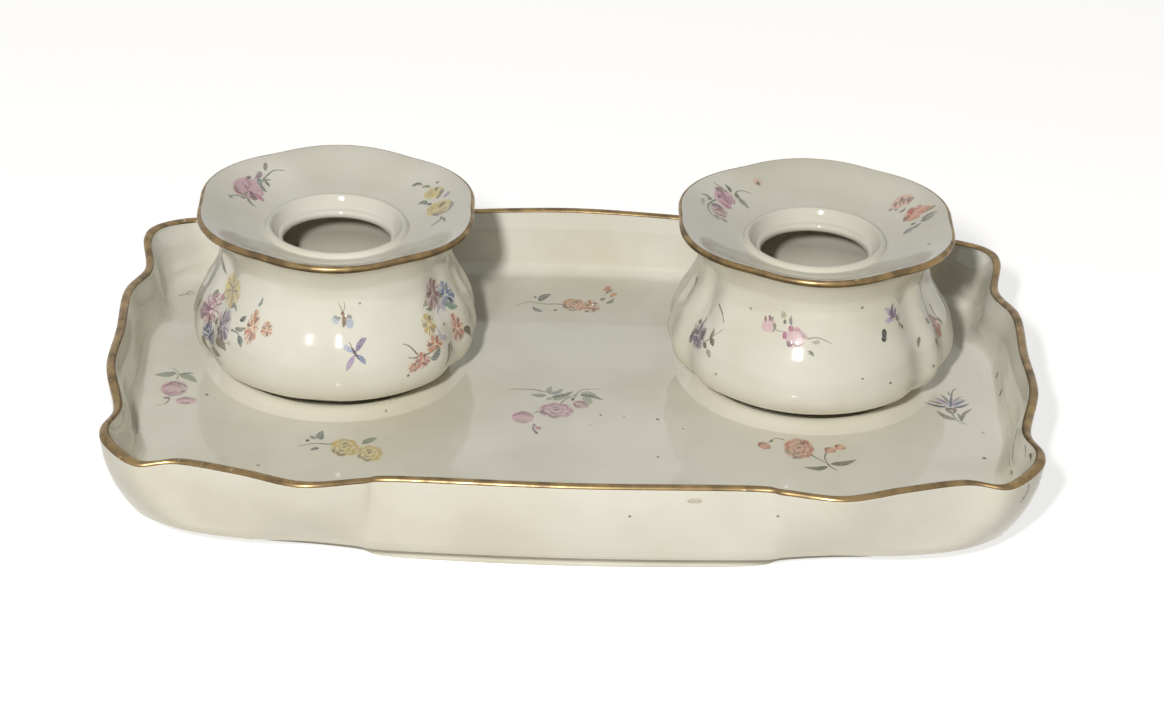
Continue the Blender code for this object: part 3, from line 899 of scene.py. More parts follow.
    def build_gilding(self, material: bpy.types.Material, seed: int) -> bpy.types.Object:
        """Build the gilt band on the flange's edge as a thin skin with a hand-drawn edge.

        Args:
            material: The gilding.
            seed: The seed of the brush's unsteadiness.

        Returns:
            The band.
        """
        half = self.flange_thickness / 2
        low = unsteady(self.segments, 8, -40.0, 7.0, seed)
        high = unsteady(self.segments, 8, 84.0, 7.0, seed + 1)
        sections = [(half + self.gilding_lift, step / 10) for step in range(11)]
        sections += [(half - self.gilding_sink, 1 - (step + 0.5) / 4) for step in range(4)]
        loops = []
        for radius, share in sections:
            loop = []
            for index, (way, _, valley) in enumerate(self.ways):
                angle = math.radians(mixed(low[index], high[index], share))
                reach = self.flange_radius - half - self.flange_lobe_depth * valley + radius * math.cos(angle)
                loop.append(Vector((self.place.x + way.x * reach, self.place.y + way.y * reach,
                                    self.base + self.height - half + radius * math.sin(angle))))
            loops.append(loop)
        skin = LoopSkin(loops[0])
        skin.grow(loops[1:])
        skin.close_ring()
        return skin.finish(f"{self.name}_gilding", [material])


class StrokeShape(Enum):
    """How wide a brush stroke is along its way."""

    LINE = "line"
    LEAF = "leaf"
    PETAL = "petal"
    ROUND = "round"

    def width(self, share: float) -> float:
        """Say how wide the stroke is at one place.

        Args:
            share: The share of the way along it.

        Returns:
            The width there, as a share of its most.
        """
        if self is StrokeShape.LINE:
            return mixed(1.0, 0.45, share)
        if self is StrokeShape.LEAF:
            return max(0.10, math.sin(math.pi * share ** 0.8))
        if self is StrokeShape.PETAL:
            return max(0.16, max(0.0, math.sin(math.pi * share ** 1.5)) ** 0.7)
        return max(0.20, math.sqrt(max(0.0, 1 - (2 * share - 1) ** 2)))


class Enamel(Enum):
    """The enamels of the painted flowers, as they look where they lie thick."""

    PINK_WASH = "#CB94A6"
    PINK = "#A5507A"
    PLUM = "#6A2A4A"
    ROSEWOOD = "#8A4C50"
    RED_WASH = "#D99070"
    RED = "#B0442A"
    RUST = "#6E2A1C"
    ORANGE_WASH = "#DBA070"
    ORANGE = "#C2662E"
    YELLOW_WASH = "#D4C062"
    YELLOW = "#BE9A2C"
    OCHRE = "#74581C"
    BLUE_WASH = "#93A0C2"
    BLUE = "#40588F"
    NAVY = "#26345C"
    LILAC = "#9C7FAE"
    VIOLET = "#5C3A7A"
    AUBERGINE = "#3A2446"
    SAGE = "#7C866A"
    OLIVE = "#5E5C3A"
    MOSS = "#424B34"
    SLATE = "#4E5C5E"
    TEAL = "#55776E"
    INK = "#1E201C"
    BROWN = "#5E4228"
    STAIN = "#8E7648"
    CREAM = "#EDE9DC"


class Tones(Enum):
    """The three strengths of one colour that a flower is painted in: wash, body and shade."""

    PINK = (Enamel.PINK_WASH, Enamel.PINK, Enamel.PLUM)
    DUSKY = (Enamel.PINK_WASH, Enamel.ROSEWOOD, Enamel.PLUM)
    RED = (Enamel.RED_WASH, Enamel.RED, Enamel.RUST)
    ORANGE = (Enamel.ORANGE_WASH, Enamel.ORANGE, Enamel.RUST)
    YELLOW = (Enamel.YELLOW_WASH, Enamel.YELLOW, Enamel.OCHRE)
    BLUE = (Enamel.BLUE_WASH, Enamel.BLUE, Enamel.NAVY)
    VIOLET = (Enamel.LILAC, Enamel.VIOLET, Enamel.AUBERGINE)


class Facing(Enum):
    """The side from which a place on the glaze is painted."""

    ABOVE = "above"
    FRONT = "front"
    AROUND = "around"
    INSIDE = "inside"


class BloomKind(Enum):
    """The kinds of flower."""

    ROSE = "rose"
    BUD = "bud"
    DAISY = "daisy"
    TULIP = "tulip"
    TUFT = "tuft"


Point = tuple[float, float]
# A stroke's shape, enamel, width in millimetres and cover, and then the points that it passes.
Stroke = tuple


@dataclass(frozen=True)
class Bloom:
    """One flower head; its sizes are in millimetres and its turn in degrees."""

    kind: BloomKind
    tones: Tones
    x: float
    y: float
    wide: float
    high: float
    turn: float = 0.0

    def around(self, angle: float, reach: float) -> Point:
        """Find a point on the flower's oval.

        Args:
            angle: The angle in degrees from its right side, leftwards over its top.
            reach: The share of the way from its middle to its edge.

        Returns:
            The point.
        """
        x = math.cos(math.radians(angle)) * reach * self.wide / 2
        y = math.sin(math.radians(angle)) * reach * self.high / 2
        turn = math.radians(self.turn)
        return (self.x + x * math.cos(turn) - y * math.sin(turn), self.y + x * math.sin(turn) + y * math.cos(turn))


@dataclass(frozen=True)
class Sprig:
    """A small painted spray. Its origin is in millimetres, or in degrees and millimetres round an axis."""

    facing: Facing
    origin: Point
    strokes: tuple[Stroke, ...] = ()
    blooms: tuple[Bloom, ...] = ()
    accents: tuple[Stroke, ...] = ()


@dataclass
class Canvas:
    """The glaze of one body, ready to be painted."""

    tree: BVHTree
    axis: Vector
    reach: float
    above: float = 0.2
    before: float = 0.3
    beside: float = 0.08
    within_share: float = 0.82

    def spot(self, facing: Facing, origin: Point, x: float, y: float) -> tuple[Vector, Vector]:
        """Find the place on the glaze under the brush.

        Args:
            facing: The side from which it is painted.
            origin: The spray's origin.
            x: How far right of the origin, in millimetres.
            y: How far above or behind the origin, in millimetres.

        Returns:
            The place and the way out of the glaze.
        """
        up = (origin[1] + y) * MM
        if facing is Facing.ABOVE:
            start, way = self.axis + Vector(((origin[0] + x) * MM, up, self.above)), Vector((0.0, 0.0, -1.0))
        elif facing is Facing.FRONT:
            start, way = Vector(((origin[0] + x) * MM, -self.before, up)), Vector((0.0, 1.0, 0.0))
        else:
            angle = math.radians(origin[0]) + x * MM / self.reach
            outward = Vector((math.sin(angle), -math.cos(angle), 0.0))
            start = self.axis + Vector((0.0, 0.0, up))
            way = outward
            if facing is Facing.AROUND:
                start, way = start + outward * self.beside, -outward
            else:
                start = start + outward * self.within_share * self.reach
        place, normal, _, _ = self.tree.ray_cast(start, way)
        if place is None:
            place, normal, _, _ = self.tree.find_nearest(start)
        return place, normal


class Brush:
    """Lays enamel strokes on one body's glaze, all in one mesh with the attribute paint; sizes are in millimetres."""

    broad_width = 2.0
    broad_lift = 0.030
    fine_lift = 0.065
    step_lift = 0.0008
    steps = 40
    edge_drop = 0.018

    def __init__(self, canvas: Canvas, seed: int) -> None:
        """Take up the brush.

        Args:
            canvas: The glaze that it paints.
            seed: The seed of its unsteadiness.
        """
        self.canvas = canvas
        self.source = random.Random(seed)
        self.mesh = bmesh.new()
        self.layer = self.mesh.verts.layers.float_color.new("paint")
        self.count = 0

    def stroke(self, sprig: Sprig, shape: StrokeShape, enamel: Enamel, width: float, cover: float,
               *path: Point) -> None:
        """Lay one stroke: a sheet that is bent along the path and pressed on the glaze, broad ones under fine ones.

        Args:
            sprig: The spray that it belongs to.
            shape: How its width runs.
            enamel: Its colour.
            width: Its most width in millimetres.
            cover: How far it hides the glaze.
            path: The points that it passes.
        """
        points = list(path)
        if len(points) == 2:
            (x0, y0), (x1, y1) = points
            bow = self.source.choice((-0.1, 0.1))
            points.insert(1, ((x0 + x1) / 2 - (y1 - y0) * bow, (y0 + y1) / 2 + (x1 - x0) * bow))
        fine = smooth_rows(points, 4 if len(points) > 2 else 8)
        last = len(fine) - 1
        light = self.source.uniform(0.88, 1.12)
        red, green, blue, _ = linear(enamel.value)
        broad = width > self.broad_width
        lift = (self.broad_lift if broad else self.fine_lift) + self.step_lift * (self.count % self.steps)
        rows = 10 if broad else 4
        for vert in bmesh.ops.create_grid(self.mesh, x_segments=last, y_segments=rows, size=1.0)["verts"]:
            share = (vert.co.x + 1) / 2
            index = round(share * last)
            before, after = fine[max(index - 1, 0)], fine[min(index + 1, last)]
            ahead = Vector((after[0] - before[0], after[1] - before[1])).normalized()
            edge = abs(vert.co.y) > 0.9
            spread = abs(vert.co.y) if broad else math.sqrt(abs(vert.co.y))
            aside = math.copysign(spread, vert.co.y) * shape.width(share) * width / 2
            place, normal = self.canvas.spot(sprig.facing, sprig.origin, fine[index][0] - ahead.y * aside,
                                             fine[index][1] + ahead.x * aside)
            vert.co = place + normal * (lift - self.edge_drop if edge else lift) * MM
            thin = (0.45 if edge else 1.0) * mixed(1.0, 0.78, share)
            vert[self.layer] = (red * light, green * light, blue * light, cover * thin)
        self.count += 1

    def wash(self, sprig: Sprig, bloom: Bloom, cover: float) -> None:
        """Fill a flower with its pale wash."""
        self.stroke(sprig, StrokeShape.ROUND, bloom.tones.value[0], bloom.high, cover, bloom.around(180, 1.0),
                    bloom.around(0, 0.0), bloom.around(0, 1.0))

    def petal(self, sprig: Sprig, bloom: Bloom, enamel: Enamel, width: float, cover: float,
              *corners: tuple[float, float]) -> None:
        """Lay a petal through points of a flower.

        Args:
            sprig: The spray.
            bloom: The flower.
            enamel: The petal's colour.
            width: Its width as a share of the flower.
            cover: How far it hides the glaze.
            corners: The angle and reach of each point.
        """
        size = min(bloom.wide, bloom.high)
        shift = self.source.uniform(-9, 9)
        path = [bloom.around(angle + shift, reach) for angle, reach in corners]
        self.stroke(sprig, StrokeShape.PETAL, enamel, width * size, cover * self.source.uniform(0.8, 1.1), *path)

    def rose(self, sprig: Sprig, bloom: Bloom) -> None:
        """Paint an open rose: rings of curled petals round a dark heart."""
        _, body, shade = bloom.tones.value
        self.wash(sprig, bloom, 0.62)
        for index in range(7):
            angle = index * 360 / 7
            self.petal(sprig, bloom, shade if index in (4, 5) else body, 0.20, 0.72,
                       (angle - 34, 0.70), (angle, 0.88), (angle + 34, 0.66))
        for index in range(5):
            angle = index * 72 + 20
            self.petal(sprig, bloom, shade if index % 2 else body, 0.15, 0.70,
                       (angle - 44, 0.36), (angle, 0.46), (angle + 44, 0.32))
        self.petal(sprig, bloom, shade, 0.16, 0.80, (200, 0.16), (90, 0.10), (20, 0.20))

    def bud(self, sprig: Sprig, bloom: Bloom) -> None:
        """Paint a half-closed bud: dark hood, pale cheek and a shaded underside."""
        _, body, shade = bloom.tones.value
        self.wash(sprig, bloom, 0.70)
        self.petal(sprig, bloom, body, 0.26, 0.80, (172, 0.95), (115, 0.62), (30, 0.80))
        self.petal(sprig, bloom, shade, 0.17, 0.80, (160, 0.70), (95, 0.80), (12, 0.98))
        self.petal(sprig, bloom, shade, 0.09, 0.75, (178, 0.98), (120, 0.45), (8, 0.72))
        self.petal(sprig, bloom, body, 0.24, 0.75, (205, 0.80), (255, 0.66), (318, 0.55))
        self.petal(sprig, bloom, shade, 0.11, 0.70, (215, 0.92), (262, 0.92), (300, 0.86))

    def daisy(self, sprig: Sprig, bloom: Bloom) -> None:
        """Paint a daisy: a ring of narrow petals, lines between them and a dark eye."""
        wash, body, shade = bloom.tones.value
        self.wash(sprig, bloom, 0.45)
        for index in range(14):
            angle = index * 360 / 14
            self.petal(sprig, bloom, wash if index % 2 else body, 0.19, 0.85,
                       (angle, 0.22), (angle + 3, 0.62), (angle, 1.0))
        for index in range(9):
            angle = index * 40 + 12
            self.petal(sprig, bloom, shade, 0.06, 0.85, (angle, 0.15), (angle, 0.42), (angle, 0.80))
        self.stroke(sprig, StrokeShape.ROUND, shade, bloom.high * 0.24, 0.85, bloom.around(180, 0.16),
                    bloom.around(0, 0.16))

    def tulip(self, sprig: Sprig, bloom: Bloom) -> None:
        """Paint a tulip: petals that rise from its foot, with darker rims."""
        wash, body, shade = bloom.tones.value
        for index, angle in enumerate((38, 142, 64, 116, 90)):
            self.petal(sprig, bloom, (wash, wash, body, body, wash)[index], 0.34, 0.85,
                       (270, 0.86), (angle, 0.16), (angle, 1.0))
        for angle in (52, 90, 128):
            self.petal(sprig, bloom, shade, 0.07, 0.65, (265, 0.70), (angle, 0.20), (angle, 0.86))
        self.petal(sprig, bloom, shade, 0.12, 0.60, (215, 0.80), (270, 0.98), (325, 0.80))

    def tuft(self, sprig: Sprig, bloom: Bloom) -> None:
        """Paint a loose tuft of short petals over a thin wash."""
        _, body, shade = bloom.tones.value
        self.wash(sprig, bloom, 0.40)
        for index in range(9):
            angle = index * 40
            reach = (0.30, 0.62, 0.78)[index % 3]
            self.petal(sprig, bloom, shade if index % 3 == 1 else body, 0.24, 0.84,
                       (angle, reach * 0.35), (angle + 14, reach), (angle + 6, reach + 0.25))
        for index in range(11):
            angle = index * 360 / 11 + 10
            self.petal(sprig, bloom, shade, 0.055, 0.80, (angle, 0.25), (angle + 5, 0.60), (angle - 4, 1.08))

    def spray(self, sprig: Sprig) -> None:
        """Paint one spray.

        Args:
            sprig: The spray.
        """
        kinds = {BloomKind.ROSE: self.rose, BloomKind.BUD: self.bud, BloomKind.DAISY: self.daisy,
                 BloomKind.TULIP: self.tulip, BloomKind.TUFT: self.tuft}
        for row in sprig.strokes:
            self.stroke(sprig, *row)
        for bloom in sprig.blooms:
            kinds[bloom.kind](sprig, bloom)
        for row in sprig.accents:
            self.stroke(sprig, *row)

    def finish(self, name: str, material: bpy.types.Material) -> bpy.types.Object:
        """Turn the strokes into an object.

        Args:
            name: Its name.
            material: The enamel.

        Returns:
            The painting.
        """
        for face in self.mesh.faces:
            place, normal, _, _ = self.canvas.tree.find_nearest(face.calc_center_median())
            if face.normal.dot(normal) < 0:
                face.normal_flip()
        mesh = bpy.data.meshes.new(name)
        self.mesh.to_mesh(mesh)
        self.mesh.free()
        mesh.shade_smooth()
        mesh.materials.append(material)
        item = bpy.data.objects.new(name, mesh)
        bpy.context.scene.collection.objects.link(item)
        return item


def dot(enamel: Enamel, x: float, y: float, wide: float, high: float, cover: float = 0.85) -> Stroke:
    """Describe a dot of enamel.

    Args:
        enamel: Its colour.
        x: The place of its middle across.
        y: The place of its middle upwards.
        wide: Its width.
        high: Its height.
        cover: How far it hides the glaze.

    Returns:
        The stroke.
    """
    return (StrokeShape.ROUND, enamel, high, cover, (x - wide / 2, y), (x, y), (x + wide / 2, y))


LINE, LEAF, PETAL, ROUND = StrokeShape.LINE, StrokeShape.LEAF, StrokeShape.PETAL, StrokeShape.ROUND

# The tray's sprays: scattered German flowers, as painted on porcelain since the 18th century.
TRAY_SPRIGS = (
    Sprig(Facing.ABOVE, (-109.1, -1.6), (
        (LINE, Enamel.BROWN, 0.5, 0.7, (-0.7, -6.2), (-1.7, -8.8), (-3.9, -9.7)),
        (LINE, Enamel.SAGE, 0.5, 0.7, (0.2, 5.2), (0.3, 9.1), (-1.9, 12.1)),
        (LEAF, Enamel.SAGE, 3.0, 0.85, (-0.6, 8.6), (-3.2, 7.8), (-6.1, 7.3)),
        (LINE, Enamel.MOSS, 0.8, 0.75, (-0.7, 9.3), (-3.0, 8.8), (-5.8, 7.7)),
        (LEAF, Enamel.MOSS, 1.2, 0.80, (0.6, 7.9), (2.6, 8.8), (4.6, 9.0)),
        (LEAF, Enamel.SAGE, 3.0, 0.85, (0.9, 7.9), (3.4, 6.6), (5.9, 3.6)),
        (LINE, Enamel.MOSS, 0.6, 0.70, (1.3, 7.4), (3.6, 6.2), (5.8, 3.8))),
        (Bloom(BloomKind.BUD, Tones.PINK, 0.0, 0.0, 7.4, 9.0),
         Bloom(BloomKind.BUD, Tones.DUSKY, 3.9, -6.7, 5.6, 4.4)),
        (dot(Enamel.MOSS, 2.5, -1.5, 1.2, 1.3), (LINE, Enamel.MOSS, 0.6, 0.7, (2.6, -1.6), (1.6, -3.2), (0.4, -3.8)),
         dot(Enamel.PLUM, -1.5, -5.5, 1.9, 1.2), dot(Enamel.INK, -0.7, 8.4, 1.0, 1.6, 0.6),
         dot(Enamel.MOSS, 9.2, -3.1, 0.9, 1.2, 0.8))),
    Sprig(Facing.ABOVE, (-60.7, -32.0), (
        (LINE, Enamel.OLIVE, 0.6, 0.8, (-2.6, 2.7), (-4.3, 1.6), (-7.5, 1.9), (-9.9, 1.2), (-12.6, 0.1)),
        (LEAF, Enamel.SLATE, 2.4, 0.75, (-6.4, 4.0), (-7.0, 6.4), (-6.4, 8.9)),
        (LEAF, Enamel.TEAL, 1.5, 0.70, (-7.9, 4.4), (-9.6, 6.2)),
        (LEAF, Enamel.SLATE, 1.6, 0.75, (-6.8, -0.6), (-9.0, -2.0)),
        (LEAF, Enamel.SAGE, 2.4, 0.80, (4.6, 2.2), (6.6, 4.6), (8.4, 5.9))),
        (Bloom(BloomKind.ROSE, Tones.YELLOW, 0.0, 0.0, 7.4, 10.0),
         Bloom(BloomKind.ROSE, Tones.YELLOW, 6.8, -2.8, 6.9, 8.9)),
        (dot(Enamel.INK, -10.1, 3.3, 1.0, 1.5), dot(Enamel.OCHRE, 3.4, -1.0, 1.0, 3.2, 0.6))),
    Sprig(Facing.ABOVE, (-4.1, -8.2), (
        (LINE, Enamel.OLIVE, 0.5, 0.8, (4.2, 5.8), (5.0, 7.9), (7.0, 12.2), (11.8, 12.9)),
        (LINE, Enamel.MOSS, 0.5, 0.8, (1.1, 3.8), (2.5, 6.5), (5.9, 10.2)),
        (LINE, Enamel.OLIVE, 0.5, 0.8, (-3.1, 10.3), (-6.0, 11.6), (-9.3, 11.7), (-13.0, 11.5)),
        (LINE, Enamel.BROWN, 0.5, 0.7, (-4.5, -0.8), (-5.4, -1.2), (-6.1, -2.1)),
        (LEAF, Enamel.SAGE, 2.2, 0.80, (-2.8, 8.6), (-7.2, 8.9)),
        (LEAF, Enamel.SAGE, 2.0, 0.75, (-1.7, 9.2), (-1.5, 13.7)),
        (LEAF, Enamel.TEAL, 1.8, 0.70, (-1.4, 9.2), (1.6, 12.6)),
        (LEAF, Enamel.SAGE, 2.4, 0.70, (-0.8, 5.8), (3.6, 8.4)),
        (LEAF, Enamel.MOSS, 1.9, 0.85, (-1.4, 7.5), (4.5, 11.1)),
        (LEAF, Enamel.SAGE, 1.6, 0.70, (-2.6, 5.9), (-0.9, 7.1)),
        (LEAF, Enamel.SAGE, 2.6, 0.65, (6.7, 9.4), (8.8, 10.2), (11.0, 9.6)),
        (LEAF, Enamel.SAGE, 2.6, 0.70, (7.3, 8.0), (9.4, 4.3)),
        (LEAF, Enamel.MOSS, 2.0, 0.85, (6.7, 9.1), (9.6, 8.7), (12.9, 6.8)),
        (LINE, Enamel.PLUM, 0.9, 0.8, (-5.1, -13.2), (-6.3, -10.7), (-6.0, -8.4)),
        (LEAF, Enamel.PINK, 1.7, 0.75, (-4.4, -10.8), (-5.8, -9.5))),
        (Bloom(BloomKind.ROSE, Tones.PINK, 0.0, 0.0, 9.5, 8.4),
         Bloom(BloomKind.BUD, Tones.PINK, -9.1, -4.2, 6.0, 7.0),
         Bloom(BloomKind.BUD, Tones.DUSKY, 6.7, 3.8, 4.6, 4.4, -40.0)),
        (dot(Enamel.INK, 4.5, 6.6, 1.0, 1.6), dot(Enamel.INK, -6.0, -8.4, 0.9, 1.2, 0.75),
         dot(Enamel.MOSS, 12.1, -1.9, 0.7, 0.9), dot(Enamel.SAGE, 18.5, -2.4, 0.8, 1.0, 0.5),
         dot(Enamel.BROWN, 9.2, -7.8, 0.7, 0.9, 0.4))),
    Sprig(Facing.ABOVE, (0.7, 55.2), (
        (LINE, Enamel.OLIVE, 0.5, 0.8, (-3.0, 0.0), (-5.3, 0.3), (-7.7, 0.0), (-11.8, 0.9), (-13.0, 1.2),
         (-16.5, -1.3)),
        (LEAF, Enamel.SLATE, 2.6, 0.80, (-10.0, 1.7), (-8.4, 5.0), (-6.5, 6.4)),
        (LEAF, Enamel.SLATE, 1.8, 0.75, (-11.5, -3.0), (-8.8, -4.7)),
        (LEAF, Enamel.RUST, 1.3, 0.70, (-5.9, -3.9), (-4.7, -3.2)),
        (PETAL, Enamel.ORANGE, 1.9, 0.75, (8.6, 9.6), (10.4, 12.6)),
        (PETAL, Enamel.RUST, 1.5, 0.70, (9.4, 7.4), (11.4, 10.4)),
        (PETAL, Enamel.ORANGE, 1.7, 0.70, (10.8, 5.4), (12.6, 8.2)),
        (LEAF, Enamel.OLIVE, 1.5, 0.75, (8.0, 3.2), (9.2, 5.0)),
        (LEAF, Enamel.OLIVE, 1.4, 0.70, (9.4, 1.4), (11.6, 4.8))),
        (Bloom(BloomKind.ROSE, Tones.ORANGE, 0.0, 0.0, 6.6, 8.0),
         Bloom(BloomKind.TUFT, Tones.ORANGE, 5.0, -0.6, 5.0, 7.8)),
        (dot(Enamel.RUST, 0.9, 2.0, 1.2, 1.6, 0.8), dot(Enamel.RUST, 3.8, -3.9, 1.3, 1.2, 0.8),
         dot(Enamel.INK, -11.1, 4.2, 0.8, 1.3, 0.8), dot(Enamel.INK, -11.5, -2.6, 0.9, 1.2, 0.8))),
    Sprig(Facing.ABOVE, (61.4, -25.8), (
        (LINE, Enamel.OLIVE, 0.6, 0.8, (3.1, -3.2), (4.7, -5.1), (7.3, -7.9)),
        (LINE, Enamel.OLIVE, 0.6, 0.8, (7.4, -1.3), (6.7, -4.6), (7.3, -7.9)),
        (LINE, Enamel.MOSS, 0.7, 0.8, (7.3, -7.9), (8.2, -9.7), (9.6, -11.1)),
        (LEAF, Enamel.MOSS, 2.3, 0.80, (7.2, -9.2), (4.4, -10.6), (0.9, -9.9)),
        (LEAF, Enamel.MOSS, 2.5, 0.80, (8.1, -7.9), (11.6, -7.4), (15.1, -5.2)),
        (LINE, Enamel.OLIVE, 0.5, 0.7, (-3.6, 4.4), (-6.0, 5.4), (-8.6, 2.4))),
        (Bloom(BloomKind.ROSE, Tones.RED, 0.0, 0.0, 8.0, 11.6),
         Bloom(BloomKind.BUD, Tones.RED, -9.3, 1.2, 3.2, 4.6, 40.0),
         Bloom(BloomKind.BUD, Tones.RED, 8.4, -0.2, 3.2, 3.6, 60.0),
         Bloom(BloomKind.BUD, Tones.ORANGE, 11.2, 1.5, 3.0, 3.4, 60.0)),
        (dot(Enamel.RUST, 1.4, 3.0, 1.6, 2.0, 0.8), dot(Enamel.RUST, -0.6, -2.5, 1.8, 1.6, 0.7),
         dot(Enamel.RUST, -1.1, -5.0, 1.9, 1.2, 0.7), dot(Enamel.MOSS, -7.3, 3.8, 1.0, 1.4, 0.8))),
    Sprig(Facing.ABOVE, (104.6, -1.5), (
        (LINE, Enamel.SAGE, 0.7, 0.8, (0.2, -2.2), (1.3, -6.0), (3.7, -8.3)),
        (LEAF, Enamel.OLIVE, 2.0, 0.80, (0.6, -5.6), (-1.8, -4.0), (-3.9, -1.0)),
        (LEAF, Enamel.MOSS, 1.3, 0.85, (2.6, -6.4), (2.4, -4.2), (1.6, -2.0)),
        (LEAF, Enamel.OLIVE, 1.3, 0.80, (2.6, -5.6), (3.6, -2.2), (6.0, 0.9)),
        (PETAL, Enamel.LILAC, 2.6, 0.50, (0.2, 1.2), (-1.6, 4.0), (-3.4, 6.4)),
        (PETAL, Enamel.LILAC, 2.6, 0.50, (0.4, 1.2), (2.2, 4.2), (4.2, 6.2)),
        (LEAF, Enamel.NAVY, 1.3, 0.85, (-0.9, 1.4), (-3.6, 1.9), (-7.0, 3.8)),
        (LEAF, Enamel.SLATE, 1.1, 0.75, (-1.6, 2.9), (-3.4, 3.8), (-5.7, 4.9)),
        (LEAF, Enamel.VIOLET, 1.1, 0.80, (-0.4, 3.0), (-1.7, 4.8), (-3.3, 6.5)),
        (LEAF, Enamel.SLATE, 1.0, 0.80, (-0.1, 4.2), (-0.9, 6.6), (-2.0, 8.8)),
        (LEAF, Enamel.NAVY, 1.1, 0.90, (0.2, 1.6), (0.6, 5.0), (1.1, 8.8)),
        (LEAF, Enamel.VIOLET, 0.9, 0.65, (1.3, 4.2), (2.4, 6.2), (3.9, 7.8)),
        (LEAF, Enamel.BLUE, 1.2, 0.90, (1.0, 2.6), (2.8, 4.0), (4.9, 5.9)),
        (LEAF, Enamel.NAVY, 1.3, 0.90, (1.0, 1.3), (3.2, 1.9), (5.6, 3.9)),
        (LINE, Enamel.BROWN, 0.6, 0.8, (1.0, 8.0), (1.6, 10.8), (2.8, 12.4)),
        (LINE, Enamel.OLIVE, 0.6, 0.7, (0.4, 8.4), (0.1, 10.4)),
        (LEAF, Enamel.BROWN, 1.6, 0.85, (-1.0, 1.0), (-0.5, -0.8), (0.3, -2.6)),
        (LEAF, Enamel.RUST, 1.3, 0.80, (1.4, 1.0), (1.1, -0.8), (0.5, -2.6)),
        dot(Enamel.BROWN, 0.2, 0.4, 2.4, 1.4, 0.9))),
    Sprig(Facing.ABOVE, (-110.6, 55.3), (
        (LINE, Enamel.BROWN, 0.8, 0.45, (-2.4, -1.6), (-0.8, -0.4), (0.8, -0.2), (2.2, 0.6)),
        (LINE, Enamel.BROWN, 0.7, 0.40, (-0.4, -0.2), (0.2, 1.4), (1.4, 1.8)))),
    Sprig(Facing.ABOVE, (0.0, 0.0), (
        dot(Enamel.MOSS, 23.2, -32.4, 0.7, 1.0), dot(Enamel.BROWN, -83.0, -42.7, 1.2, 0.8, 0.7),
        dot(Enamel.BROWN, -50.5, -12.4, 0.8, 1.0, 0.5), dot(Enamel.INK, 111.3, -28.2, 1.2, 1.2),
        dot(Enamel.ROSEWOOD, 112.4, -14.0, 0.9, 1.0, 0.6), dot(Enamel.INK, 23.6, -11.6, 1.0, 1.1, 0.8),
        dot(Enamel.BROWN, 30.4, -16.6, 0.8, 0.9, 0.5))),
    Sprig(Facing.INSIDE, (92.6, 14.6), (
        (LEAF, Enamel.INK, 0.9, 0.90, (-1.6, -0.6), (0.6, 0.8)),
        (LEAF, Enamel.INK, 0.8, 0.85, (9.6, -0.8), (11.4, 0.4)))),
    Sprig(Facing.FRONT, (0.0, 0.0), (
        dot(Enamel.MOSS, 14.6, 22.0, 0.7, 0.8), dot(Enamel.MOSS, 52.5, 22.6, 0.7, 0.7),
        dot(Enamel.STAIN, 31.0, 26.6, 4.0, 1.6, 0.45))),
)

# Old hairline cracks at one corner, browned by use: a few lines, a chip's stain and the drips beside it.
CRACK_SPRIGS = (
    Sprig(Facing.INSIDE, (71.6, 0.0), (
        (LEAF, Enamel.STAIN, 1.9, 0.55, (0.2, 23.4), (-1.6, 21.6), (-3.6, 19.6)),
        (LINE, Enamel.SLATE, 0.4, 0.85, (4.6, 25.4), (2.1, 24.6), (0.0, 23.6), (-1.4, 22.4)),
        (LINE, Enamel.OLIVE, 0.5, 0.80, (-1.0, 22.6), (-3.0, 21.0), (-4.6, 19.6)),
        (LINE, Enamel.OLIVE, 0.5, 0.75, (2.5, 18.6), (-0.6, 18.2), (-3.4, 17.8)),
        dot(Enamel.STAIN, -5.6, 17.6, 1.8, 1.2, 0.8),
        (LINE, Enamel.SLATE, 0.4, 0.80, (-6.6, 27.0), (-8.6, 26.4), (-9.8, 25.2)),
        (LEAF, Enamel.BROWN, 1.1, 0.90, (-10.6, 27.2), (-12.0, 27.4), (-13.8, 27.0)))),
    Sprig(Facing.FRONT, (0.0, 0.0), (
        (LINE, Enamel.INK, 0.4, 0.60, (117.6, 27.4), (117.4, 25.0), (115.8, 22.0)),
        dot(Enamel.SLATE, 116.6, 23.4, 0.9, 0.9, 0.6))),
)

